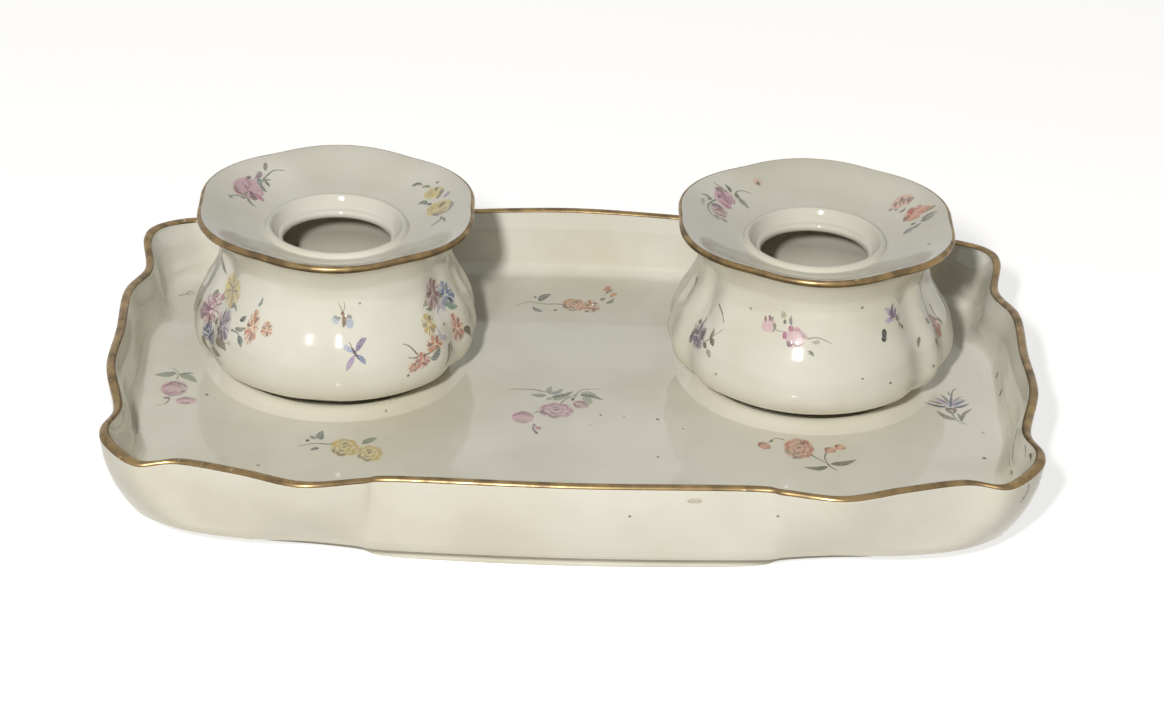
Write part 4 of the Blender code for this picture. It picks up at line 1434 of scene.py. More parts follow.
LEFT_POT_SPRIGS = (
    Sprig(Facing.ABOVE, (0.0, 0.0), (
        (LINE, Enamel.SLATE, 0.5, 0.75, (-21.8, 21.0), (-20.3, 23.7), (-18.7, 25.5), (-15.9, 26.2)),
        dot(Enamel.OLIVE, -21.4, 25.8, 1.2, 2.8, 0.8),
        (LEAF, Enamel.MOSS, 0.9, 0.75, (-21.9, 20.4), (-19.6, 21.8)),
        (LEAF, Enamel.SLATE, 1.8, 0.75, (-22.8, 21.2), (-21.8, 18.2)),
        (LEAF, Enamel.MOSS, 1.1, 0.85, (-21.2, 20.6), (-19.8, 19.2)),
        (LEAF, Enamel.SLATE, 1.3, 0.85, (-22.2, 18.8), (-20.4, 16.8)),
        (LEAF, Enamel.OLIVE, 0.9, 0.85, (-25.2, 11.8), (-24.6, 10.0), (-22.6, 8.4)),
        (LINE, Enamel.SLATE, 0.8, 0.70, (-25.4, 11.4), (-28.0, 11.0), (-30.2, 8.9)),
        dot(Enamel.SLATE, -29.8, 8.9, 1.2, 1.6, 0.7), dot(Enamel.INK, -26.6, 11.0, 1.2, 1.2, 0.7),
        (ROUND, Enamel.PINK_WASH, 8.6, 0.75, (-28.4, 12.8), (-24.6, 16.0), (-21.2, 15.6)),
        (PETAL, Enamel.PINK_WASH, 2.2, 0.75, (-24.4, 17.4), (-23.2, 21.4)),
        (PETAL, Enamel.PLUM, 1.6, 0.70, (-24.0, 20.6), (-22.6, 23.6)),
        (PETAL, Enamel.PLUM, 1.2, 0.80, (-26.4, 18.6), (-25.0, 20.6)),
        (PETAL, Enamel.PINK, 2.1, 0.90, (-24.6, 14.0), (-26.2, 15.4), (-27.2, 18.0)),
        (PETAL, Enamel.PINK, 1.6, 0.75, (-25.4, 15.6), (-25.2, 17.6), (-26.4, 19.4)),
        (PETAL, Enamel.ROSEWOOD, 1.9, 0.85, (-26.6, 12.6), (-28.2, 12.6), (-29.0, 15.0)),
        (PETAL, Enamel.PLUM, 2.4, 0.90, (-24.8, 15.2), (-24.0, 13.6), (-23.4, 11.6)),
        (PETAL, Enamel.PINK, 1.8, 0.85, (-24.0, 14.6), (-22.6, 14.0), (-20.9, 12.4)),
        (PETAL, Enamel.PINK, 1.4, 0.60, (-23.6, 16.2), (-22.2, 16.4), (-21.2, 15.0)),
        (PETAL, Enamel.PLUM, 1.5, 0.70, (-25.4, 14.6), (-26.2, 12.8), (-26.0, 11.8)))),
    Sprig(Facing.ABOVE, (0.0, 0.0), (
        (LEAF, Enamel.MOSS, 1.1, 0.85, (19.8, 21.0), (21.4, 21.3), (22.9, 20.4)),
        (LEAF, Enamel.OLIVE, 0.9, 0.75, (22.6, 19.6), (24.0, 19.4), (25.2, 18.4)),
        (LEAF, Enamel.SLATE, 1.7, 0.85, (24.4, 11.6), (23.2, 13.1), (21.8, 12.6)),
        (LINE, Enamel.MOSS, 0.7, 0.80, (28.4, 2.0), (28.6, 0.6), (27.4, -0.6), (25.8, -1.6)),
        (LEAF, Enamel.MOSS, 0.9, 0.75, (28.4, 1.6), (29.4, -0.4), (29.6, -2.4)),
        (ROUND, Enamel.YELLOW_WASH, 4.6, 0.75, (23.4, 15.6), (26.0, 15.8), (29.0, 15.0)),
        (ROUND, Enamel.YELLOW_WASH, 7.4, 0.75, (24.4, 7.6), (27.6, 7.6), (31.2, 7.8)),
        (PETAL, Enamel.YELLOW, 1.9, 0.70, (26.0, 14.6), (25.0, 16.0), (25.6, 17.6)),
        (PETAL, Enamel.OCHRE, 1.3, 0.80, (26.4, 16.2), (26.9, 17.8)),
        (PETAL, Enamel.OCHRE, 1.4, 0.80, (27.4, 13.6), (28.4, 16.2)),
        (PETAL, Enamel.OCHRE, 1.2, 0.80, (26.8, 12.8), (27.8, 14.2)),
        (PETAL, Enamel.LILAC, 1.3, 0.75, (28.8, 12.0), (30.4, 14.0)),
        (PETAL, Enamel.YELLOW, 2.4, 0.80, (27.6, 9.8), (26.0, 9.2), (25.0, 7.4)),
        (PETAL, Enamel.OCHRE, 2.2, 0.90, (27.8, 7.2), (28.4, 8.8), (29.6, 9.6)),
        (PETAL, Enamel.YELLOW, 1.7, 0.80, (26.4, 5.8), (28.4, 5.6), (30.2, 6.8)),
        (PETAL, Enamel.OCHRE, 1.3, 0.75, (25.4, 6.6), (27.4, 4.6), (29.8, 4.0)),
        (PETAL, Enamel.OLIVE, 1.3, 0.70, (30.0, 3.4), (31.2, 6.0), (31.0, 8.6)),
        dot(Enamel.INK, 25.1, 11.2, 1.2, 1.3), (LEAF, Enamel.INK, 0.8, 0.8, (26.2, 4.6), (27.8, 3.4)),
        dot(Enamel.OLIVE, 27.0, 19.6, 1.0, 1.0, 0.7))),
    Sprig(Facing.AROUND, (-57.0, 22.0), (
        (LEAF, Enamel.MOSS, 1.6, 0.85, (-12.4, 14.2), (-9.6, 12.4), (-6.4, 10.8)),
        (LINE, Enamel.BROWN, 0.4, 0.75, (-3.8, -9.4), (0.6, -9.0), (5.4, -9.9)),
        (LINE, Enamel.BROWN, 0.4, 0.75, (-3.2, -10.6), (0.6, -11.2), (3.4, -12.6)),
        (LEAF, Enamel.OLIVE, 3.0, 0.80, (1.6, -4.4), (4.8, -3.4), (7.6, -4.6)),
        (LEAF, Enamel.MOSS, 2.0, 0.85, (-1.4, -8.0), (2.6, -7.4), (5.6, -7.0)),
        (LEAF, Enamel.OLIVE, 2.2, 0.85, (-6.6, -6.8), (-6.4, -9.0), (-3.6, -11.2)),
        (LEAF, Enamel.MOSS, 1.8, 0.80, (-13.6, 0.6), (-14.4, -1.4), (-13.6, -2.8)),
        (LEAF, Enamel.MOSS, 1.6, 0.80, (-8.6, 4.6), (-7.4, 6.2)),
        (LEAF, Enamel.TEAL, 1.6, 0.80, (-3.6, 4.8), (-2.6, 8.2)),
        (LEAF, Enamel.SLATE, 1.4, 0.80, (3.2, 5.2), (4.8, 6.6), (7.0, 5.6)),
        (LEAF, Enamel.INK, 1.4, 0.90, (9.4, 4.2), (11.2, 5.8)),
        (LEAF, Enamel.MOSS, 1.2, 0.75, (8.8, 2.0), (12.6, 3.2)),
        (LINE, Enamel.MOSS, 0.6, 0.80, (7.6, 1.2), (10.2, 1.2), (11.8, 0.2)),
        (LEAF, Enamel.SLATE, 1.9, 0.85, (10.8, 0.6), (12.6, -1.8))),
        (Bloom(BloomKind.DAISY, Tones.YELLOW, 0.2, 9.0, 11.5, 9.0),
         Bloom(BloomKind.TUFT, Tones.VIOLET, 3.8, 0.4, 6.4, 8.4),
         Bloom(BloomKind.TUFT, Tones.PINK, -6.6, 0.8, 9.0, 9.0),
         Bloom(BloomKind.TUFT, Tones.ORANGE, 14.4, 3.8, 4.2, 8.6),
         Bloom(BloomKind.TUFT, Tones.ORANGE, 19.2, 4.4, 3.6, 3.8),
         Bloom(BloomKind.TUFT, Tones.BLUE, -3.4, -5.2, 8.4, 5.2)),
        ((PETAL, Enamel.PLUM, 2.2, 0.85, (-5.4, 3.0), (-9.0, 4.4)),
         (PETAL, Enamel.PLUM, 2.2, 0.85, (-5.8, 1.4), (-10.4, 0.6)),
         (PETAL, Enamel.PINK, 2.2, 0.85, (-4.6, 3.0), (-3.6, 6.4)),
         (PETAL, Enamel.PLUM, 2.0, 0.80, (-6.8, -0.4), (-9.4, -2.6)),
         dot(Enamel.CREAM, -1.4, -0.8, 6.4, 6.6, 0.95), dot(Enamel.PINK_WASH, -0.6, 1.4, 3.8, 2.2, 0.6),
         dot(Enamel.OLIVE, -1.4, -0.4, 1.8, 2.0, 0.8), dot(Enamel.RUST, -1.2, -0.6, 1.0, 1.2, 0.8),
         (PETAL, Enamel.AUBERGINE, 1.5, 0.85, (1.6, 4.4), (2.2, 1.8)),
         (PETAL, Enamel.AUBERGINE, 1.5, 0.85, (1.6, -0.2), (2.4, -2.6)),
         (PETAL, Enamel.NAVY, 1.7, 0.90, (-5.0, -1.8), (-6.2, -4.2)),
         (PETAL, Enamel.NAVY, 1.7, 0.90, (-2.4, -4.2), (-3.4, -7.0)),
         (LINE, Enamel.PLUM, 0.7, 0.70, (2.4, -2.8), (5.0, -3.4), (7.2, -2.6)),
         dot(Enamel.SAGE, 8.2, -2.2, 1.2, 1.0, 0.5))),
    Sprig(Facing.AROUND, (-34.4, 32.4), (
        (LEAF, Enamel.SLATE, 1.0, 0.80, (-0.6, -1.4), (0.4, 1.4)),)),
    Sprig(Facing.AROUND, (56.0, 24.0), (
        (LINE, Enamel.BROWN, 0.6, 0.80, (-12.6, -4.2), (-14.6, -1.6), (-16.4, -0.6)),
        (LINE, Enamel.BROWN, 0.5, 0.70, (-12.4, -4.8), (-15.6, -4.2)),
        (LEAF, Enamel.SAGE, 2.4, 0.80, (-1.6, 5.2), (-3.4, 6.8), (-6.4, 6.2)),
        (LEAF, Enamel.MOSS, 1.2, 0.80, (-2.0, 5.0), (-5.6, 5.4)),
        (LEAF, Enamel.TEAL, 2.0, 0.80, (5.4, 3.2), (7.2, 1.6), (9.4, 1.0)),
        (LEAF, Enamel.MOSS, 2.4, 0.85, (8.2, -5.0), (10.4, -6.4), (11.2, -8.8)),
        (LEAF, Enamel.OLIVE, 2.0, 0.85, (-0.2, -5.6), (-0.6, -8.2), (-2.4, -11.2)),
        (LEAF, Enamel.MOSS, 1.2, 0.80, (1.2, -5.6), (2.0, -9.4)),
        (LEAF, Enamel.SLATE, 2.2, 0.80, (-4.8, -5.0), (-7.2, -6.6), (-8.8, -6.4)),
        (LINE, Enamel.MOSS, 0.6, 0.80, (-5.6, -4.2), (-9.4, -5.0), (-12.4, -4.6))),
        (Bloom(BloomKind.TUFT, Tones.DUSKY, 0.6, 7.6, 9.4, 8.0),
         Bloom(BloomKind.TUFT, Tones.BLUE, 7.0, 5.0, 7.0, 7.0), Bloom(BloomKind.TUFT, Tones.RED, 6.0, -4.0, 5.0, 8.0),
         Bloom(BloomKind.TUFT, Tones.YELLOW, -6.4, 1.8, 5.0, 5.4),
         Bloom(BloomKind.TUFT, Tones.ORANGE, -6.4, -3.2, 6.0, 4.6),
         Bloom(BloomKind.TUFT, Tones.RED, -11.4, -6.2, 5.0, 4.4),
         Bloom(BloomKind.TUFT, Tones.RED, -14.4, -7.4, 3.0, 2.8)),
        (dot(Enamel.CREAM, 0.1, 0.0, 9.0, 8.4, 0.95),
         (PETAL, Enamel.LILAC, 1.8, 0.55, (-1.0, 2.6), (2.4, 3.6), (4.0, 1.4)),
         (PETAL, Enamel.LILAC, 1.6, 0.50, (-3.8, 0.6), (-3.2, -2.6), (-0.4, -3.8)),
         dot(Enamel.VIOLET, 0.2, 0.2, 4.6, 4.8, 0.85), dot(Enamel.AUBERGINE, 0.0, 0.6, 2.4, 2.6, 0.85),
         dot(Enamel.YELLOW, 0.2, -0.6, 1.0, 1.0, 0.9), dot(Enamel.INK, -16.0, -9.2, 0.8, 0.9, 0.8))),
    Sprig(Facing.AROUND, (6.0, 30.8), (
        (PETAL, Enamel.BLUE_WASH, 2.4, 0.70, (-0.6, 0.4), (-3.0, -0.6)),
        (PETAL, Enamel.BLUE_WASH, 2.6, 0.70, (0.6, 0.2), (3.2, -1.2)),
        (PETAL, Enamel.SLATE, 1.2, 0.70, (-0.5, 0.6), (-2.6, 0.8)),
        (PETAL, Enamel.SLATE, 1.2, 0.70, (0.6, 0.6), (2.8, 0.6)),
        (LEAF, Enamel.OCHRE, 1.4, 0.90, (0.1, -1.8), (0.0, 2.0)), dot(Enamel.RUST, 0.0, 1.6, 1.0, 0.9, 0.9),
        (LINE, Enamel.BROWN, 0.3, 0.85, (-0.1, 1.9), (-0.7, 3.4), (-1.5, 4.6)),
        (LINE, Enamel.BROWN, 0.3, 0.85, (0.1, 1.9), (0.6, 3.4), (0.4, 5.0)))),
    Sprig(Facing.AROUND, (10.6, 22.8), (
        (LEAF, Enamel.VIOLET, 1.7, 0.75, (0.2, 0.4), (2.0, 2.6), (3.6, 3.4)),
        (LEAF, Enamel.LILAC, 1.6, 0.75, (-0.2, -0.4), (-1.6, -2.8), (-2.4, -4.4)),
        (LEAF, Enamel.BLUE, 1.5, 0.75, (0.4, -0.4), (2.0, -1.8), (2.6, -3.0)),
        (LEAF, Enamel.BLUE_WASH, 1.4, 0.70, (-0.3, 0.3), (-2.2, 1.4), (-3.4, 1.6)),
        (LEAF, Enamel.AUBERGINE, 0.9, 0.90, (-0.9, 1.5), (0.0, 0.0), (1.1, -1.7)),
        (LINE, Enamel.BROWN, 0.3, 0.80, (-0.8, 1.4), (-1.6, 2.8)))),
    Sprig(Facing.AROUND, (14.1, 35.0), (dot(Enamel.BROWN, 0.0, 0.0, 0.9, 0.8, 0.6),)),
)

RIGHT_POT_SPRIGS = (
    Sprig(Facing.ABOVE, (0.0, 0.0), (
        (LINE, Enamel.SLATE, 0.5, 0.75, (-21.2, 21.0), (-20.6, 22.2), (-19.0, 23.0), (-16.6, 22.8)),
        (LEAF, Enamel.MOSS, 1.5, 0.85, (-21.2, 21.4), (-19.8, 19.6)),
        (LEAF, Enamel.SAGE, 1.7, 0.85, (-20.4, 19.8), (-18.9, 18.4), (-17.4, 16.6)),
        (LINE, Enamel.OLIVE, 0.7, 0.75, (-23.6, 20.6), (-25.4, 21.6), (-27.6, 22.6)),
        (LEAF, Enamel.INK, 1.1, 0.85, (-22.4, 21.0), (-24.2, 23.2)),
        (LEAF, Enamel.SAGE, 1.3, 0.80, (-28.2, 15.6), (-31.0, 15.8)),
        (LEAF, Enamel.MOSS, 0.9, 0.85, (-28.0, 15.6), (-29.2, 14.4)),
        (LEAF, Enamel.SAGE, 1.2, 0.55, (-30.4, 14.0), (-30.6, 10.8)),
        (LINE, Enamel.OLIVE, 0.6, 0.80, (-27.0, 15.8), (-28.8, 13.0), (-29.2, 10.6), (-28.2, 8.0), (-26.0, 6.6)),
        (ROUND, Enamel.PINK_WASH, 7.0, 0.75, (-27.2, 17.6), (-24.4, 17.8), (-21.8, 17.2)),
        (ROUND, Enamel.PINK_WASH, 6.0, 0.55, (-28.4, 11.4), (-26.2, 11.6), (-23.8, 10.8)),
        (PETAL, Enamel.PLUM, 2.0, 0.80, (-24.4, 19.2), (-25.6, 20.4), (-27.0, 20.0)),
        (PETAL, Enamel.PINK, 2.6, 0.85, (-26.4, 18.4), (-24.6, 18.4), (-22.4, 16.2)),
        (PETAL, Enamel.PINK, 1.9, 0.80, (-25.6, 16.2), (-24.0, 15.0), (-22.4, 14.8)),
        (PETAL, Enamel.PINK, 1.5, 0.70, (-23.4, 19.4), (-22.2, 18.4), (-21.6, 16.8)),
        (PETAL, Enamel.PLUM, 1.3, 0.80, (-26.2, 17.2), (-25.4, 18.0)),
        (PETAL, Enamel.PLUM, 1.7, 0.85, (-24.8, 12.4), (-26.4, 13.6), (-28.2, 12.6)),
        (PETAL, Enamel.ROSEWOOD, 1.8, 0.80, (-27.4, 11.0), (-25.8, 12.0), (-24.2, 10.8)),
        (PETAL, Enamel.ROSEWOOD, 1.4, 0.75, (-27.8, 9.8), (-26.0, 9.6), (-23.9, 9.8)),
        (LEAF, Enamel.MOSS, 0.9, 0.80, (-27.6, 8.6), (-25.2, 7.8)),
        (PETAL, Enamel.PLUM, 1.3, 0.70, (-25.6, 8.2), (-24.0, 6.8)),
        dot(Enamel.RED_WASH, -14.7, 27.3, 2.6, 3.0, 0.35), dot(Enamel.BROWN, -14.6, 26.9, 1.1, 1.5, 0.8))),
    Sprig(Facing.ABOVE, (0.0, 0.0), (
        (LEAF, Enamel.OLIVE, 0.8, 0.80, (24.2, 14.0), (26.2, 15.4)), dot(Enamel.MOSS, 22.0, 16.2, 1.0, 1.0, 0.7),
        dot(Enamel.MOSS, 23.6, 15.6, 1.0, 0.9, 0.6),
        (LEAF, Enamel.INK, 1.4, 0.75, (29.8, 7.2), (31.6, 8.0), (34.2, 8.2)),
        (LEAF, Enamel.SLATE, 1.6, 0.75, (29.4, 6.4), (31.2, 6.4), (33.4, 7.0)),
        (LEAF, Enamel.SLATE, 1.7, 0.75, (24.6, 2.6), (26.4, 4.2), (27.9, 5.0)),
        (LEAF, Enamel.INK, 0.9, 0.85, (27.6, 4.0), (29.6, 5.4)),
        (LEAF, Enamel.INK, 0.9, 0.85, (26.8, 6.8), (28.4, 6.6)),
        (ROUND, Enamel.RED_WASH, 4.2, 0.50, (22.6, 16.4), (25.2, 18.4), (28.2, 18.2)),
        (ROUND, Enamel.RED_WASH, 4.6, 0.75, (25.4, 9.4), (28.6, 11.6), (32.6, 11.2)),
        (PETAL, Enamel.ROSEWOOD, 1.2, 0.80, (23.2, 16.8), (24.0, 18.6)),
        (PETAL, Enamel.RUST, 1.2, 0.75, (24.2, 17.4), (25.4, 19.8)),
        (PETAL, Enamel.ROSEWOOD, 1.1, 0.75, (25.6, 17.0), (26.4, 18.8)),
        (PETAL, Enamel.RUST, 1.0, 0.80, (26.8, 17.2), (27.6, 19.0)),
        (PETAL, Enamel.ROSEWOOD, 1.1, 0.75, (26.6, 16.2), (28.6, 18.4)),
        (PETAL, Enamel.RED, 1.2, 0.55, (24.6, 16.6), (25.4, 17.8)),
        (PETAL, Enamel.RED, 2.4, 0.90, (26.6, 10.6), (27.2, 12.4), (27.8, 14.4)),
        (PETAL, Enamel.RED, 2.2, 0.85, (27.6, 11.0), (28.8, 12.4), (30.0, 14.4)),
        (PETAL, Enamel.ORANGE, 2.0, 0.80, (28.8, 10.6), (30.6, 11.0), (32.4, 12.2)),
        (PETAL, Enamel.OCHRE, 1.3, 0.75, (30.0, 10.4), (32.0, 10.6), (33.8, 11.6)),
        (PETAL, Enamel.RUST, 1.5, 0.85, (27.0, 11.4), (26.0, 10.6), (25.2, 9.4)),
        (PETAL, Enamel.ORANGE, 1.8, 0.75, (26.4, 8.6), (28.0, 9.4), (29.6, 9.4)),
        (LINE, Enamel.RUST, 0.6, 0.80, (27.2, 12.6), (28.6, 13.2), (30.0, 13.0)),
        dot(Enamel.BROWN, 30.4, -9.1, 0.9, 0.8, 0.8))),
    Sprig(Facing.AROUND, (-58.0, 21.6), (
        (LINE, Enamel.ROSEWOOD, 0.4, 0.80, (3.4, -0.4), (5.4, 1.8), (8.4, 5.2)),
        (LEAF, Enamel.OLIVE, 1.3, 0.85, (5.4, 1.6), (5.2, 4.4)),
        (LEAF, Enamel.MOSS, 1.6, 0.90, (5.6, 1.8), (7.4, 0.4)),
        (LEAF, Enamel.MOSS, 1.5, 0.85, (3.8, 0.0), (5.4, -0.8)),
        (LEAF, Enamel.SAGE, 1.7, 0.75, (5.6, -1.2), (7.4, -2.8)),
        (PETAL, Enamel.ROSEWOOD, 1.2, 0.65, (-1.4, 3.0), (-0.4, 5.0)),
        dot(Enamel.INK, -2.8, 2.8, 1.5, 1.3, 0.8)),
        (Bloom(BloomKind.TUFT, Tones.VIOLET, -0.2, 0.0, 7.4, 6.4),),
        ((PETAL, Enamel.AUBERGINE, 1.5, 0.90, (1.6, -0.6), (1.9, 3.2)),
         (PETAL, Enamel.AUBERGINE, 1.5, 0.85, (-3.0, 0.4), (-3.6, -3.6)),
         (PETAL, Enamel.VIOLET, 1.6, 0.80, (-0.8, -0.4), (-1.0, -3.4)),
         (PETAL, Enamel.VIOLET, 1.4, 0.70, (1.6, 0.0), (2.0, -2.4)),
         (LINE, Enamel.MOSS, 0.5, 0.70, (-4.0, -1.0), (-4.2, 2.0)))),
    Sprig(Facing.AROUND, (-50.0, 30.0), (
        (LINE, Enamel.BROWN, 0.6, 0.80, (-2.3, 1.6), (0.2, 0.4), (2.5, -1.8)),)),
    Sprig(Facing.AROUND, (-14.0, 31.0), (
        (LEAF, Enamel.SAGE, 2.0, 0.60, (-2.0, 2.8), (-3.0, 4.8)),
        (LEAF, Enamel.SLATE, 1.1, 0.75, (0.6, 1.4), (0.2, 4.0)),
        dot(Enamel.INK, -1.6, 2.0, 1.0, 1.3, 0.75),
        (LINE, Enamel.OLIVE, 0.4, 0.50, (-5.2, 0.2), (-3.2, -0.6), (-1.4, -0.4)),
        (ROUND, Enamel.PINK_WASH, 3.6, 0.55, (-8.6, -0.4), (-6.2, 0.4), (-4.2, -0.2)),
        (PETAL, Enamel.PLUM, 0.9, 0.85, (-7.6, 0.9), (-7.9, 2.5)),
        (PETAL, Enamel.PLUM, 0.9, 0.85, (-6.5, 1.3), (-6.8, 3.0)),
        (PETAL, Enamel.PLUM, 0.8, 0.80, (-5.6, 1.3), (-5.6, 2.8)),
        (LEAF, Enamel.OLIVE, 0.9, 0.80, (-5.2, 1.2), (-4.4, 0.2), (-4.8, -1.2)),
        (ROUND, Enamel.PINK_WASH, 4.8, 0.60, (-0.8, -1.8), (1.8, -1.6), (5.0, -1.8)),
        dot(Enamel.PINK, 0.6, 0.5, 1.7, 1.6, 0.9), dot(Enamel.PINK, -1.0, -1.3, 1.5, 2.0, 0.9),
        dot(Enamel.PLUM, 0.7, -3.2, 1.8, 1.6, 0.85),
        (PETAL, Enamel.PINK, 1.3, 0.60, (1.0, 0.4), (3.4, 0.2)),
        (PETAL, Enamel.PINK, 1.3, 0.60, (1.2, -3.2), (3.8, -3.4)),
        (PETAL, Enamel.PINK, 1.4, 0.60, (3.6, 0.4), (5.6, -1.4)),
        (PETAL, Enamel.SAGE, 1.1, 0.60, (7.0, -2.2), (9.4, -2.0)),
        (LINE, Enamel.OLIVE, 0.4, 0.70, (5.6, -1.6), (9.0, -1.2), (13.0, -2.6)),
        (LEAF, Enamel.MOSS, 1.0, 0.80, (6.0, -4.6), (8.0, -5.6)))),
    Sprig(Facing.AROUND, (38.0, 33.0), (
        (LINE, Enamel.OLIVE, 0.4, 0.75, (1.6, -1.0), (3.0, -3.6), (4.6, -5.6)),
        (LINE, Enamel.SLATE, 0.4, 0.60, (3.2, -0.4), (3.6, -2.4)),
        (LEAF, Enamel.LILAC, 1.5, 0.75, (-0.6, -0.4), (-3.2, 2.6)),
        (LEAF, Enamel.LILAC, 1.6, 0.75, (-0.4, -0.8), (-3.4, -0.9)),
        (LEAF, Enamel.LILAC, 1.3, 0.70, (0.2, -1.0), (0.0, -2.0)),
        (LEAF, Enamel.VIOLET, 1.4, 0.85, (0.0, -0.6), (-1.0, 2.0)),
        (LEAF, Enamel.AUBERGINE, 1.4, 0.90, (0.2, -0.6), (0.6, 3.2)),
        (LEAF, Enamel.VIOLET, 1.4, 0.85, (0.6, -0.8), (1.7, 1.6)),
        (LEAF, Enamel.AUBERGINE, 1.0, 0.90, (-1.2, -0.9), (1.2, -0.9)),
        (LEAF, Enamel.BROWN, 1.6, 0.80, (1.6, -0.6), (2.8, -2.2)),
        dot(Enamel.RUST, 2.7, -3.2, 1.2, 0.9, 0.85), dot(Enamel.BROWN, 3.7, -4.2, 1.4, 1.1, 0.9),
        (LINE, Enamel.BROWN, 0.4, 0.60, (2.2, -3.4), (1.8, -4.6)))),
    Sprig(Facing.AROUND, (31.0, 28.6), (
        (LEAF, Enamel.INK, 1.9, 1.00, (0.4, 1.6), (0.2, 0.4), (-0.4, -1.6)),
        dot(Enamel.INK, -0.2, -0.8, 1.8, 1.5, 1.0))),
    Sprig(Facing.AROUND, (68.0, 23.6), (
        (LINE, Enamel.MOSS, 0.6, 0.80, (3.0, 5.0), (3.2, 3.0), (3.4, 1.2)),
        (LEAF, Enamel.MOSS, 1.6, 0.80, (-3.8, 2.6), (-4.8, 4.4)),
        (LEAF, Enamel.MOSS, 1.5, 0.80, (-4.2, -1.6), (-3.8, -4.2)),
        (LEAF, Enamel.MOSS, 1.0, 0.75, (3.0, 1.0), (4.8, -1.6))),
        (Bloom(BloomKind.TUFT, Tones.RED, 0.6, -0.4, 5.4, 7.0, 20.0),),
        ((LEAF, Enamel.RUST, 1.2, 0.85, (-0.2, 3.2), (3.4, 0.6)),
         (PETAL, Enamel.RED, 1.6, 0.90, (0.4, -0.6), (2.2, -4.0)))),
    Sprig(Facing.AROUND, (52.0, 23.1), (
        (LEAF, Enamel.MOSS, 1.3, 0.80, (0.8, 1.0), (-0.9, -1.4)),)),
    Sprig(Facing.AROUND, (-84.0, 29.4), (
        (LEAF, Enamel.SLATE, 1.3, 0.85, (-1.0, 1.8), (1.4, -0.6)),
        (LINE, Enamel.SLATE, 0.7, 0.60, (1.2, -1.0), (0.6, -3.6)))),
    Sprig(Facing.AROUND, (0.0, 0.0), (
        dot(Enamel.MOSS, -22.8, 34.2, 1.0, 0.8, 0.6), dot(Enamel.BROWN, -28.1, 15.3, 0.8, 0.8, 0.7),
        dot(Enamel.BROWN, 13.6, 37.2, 1.0, 0.8, 0.8),
        dot(Enamel.MOSS, 38.0, 15.3, 0.9, 0.9, 0.8), dot(Enamel.INK, 20.1, 16.7, 0.8, 0.8, 0.85),
        dot(Enamel.BROWN, 11.9, 19.4, 0.8, 0.5, 0.7))),
)


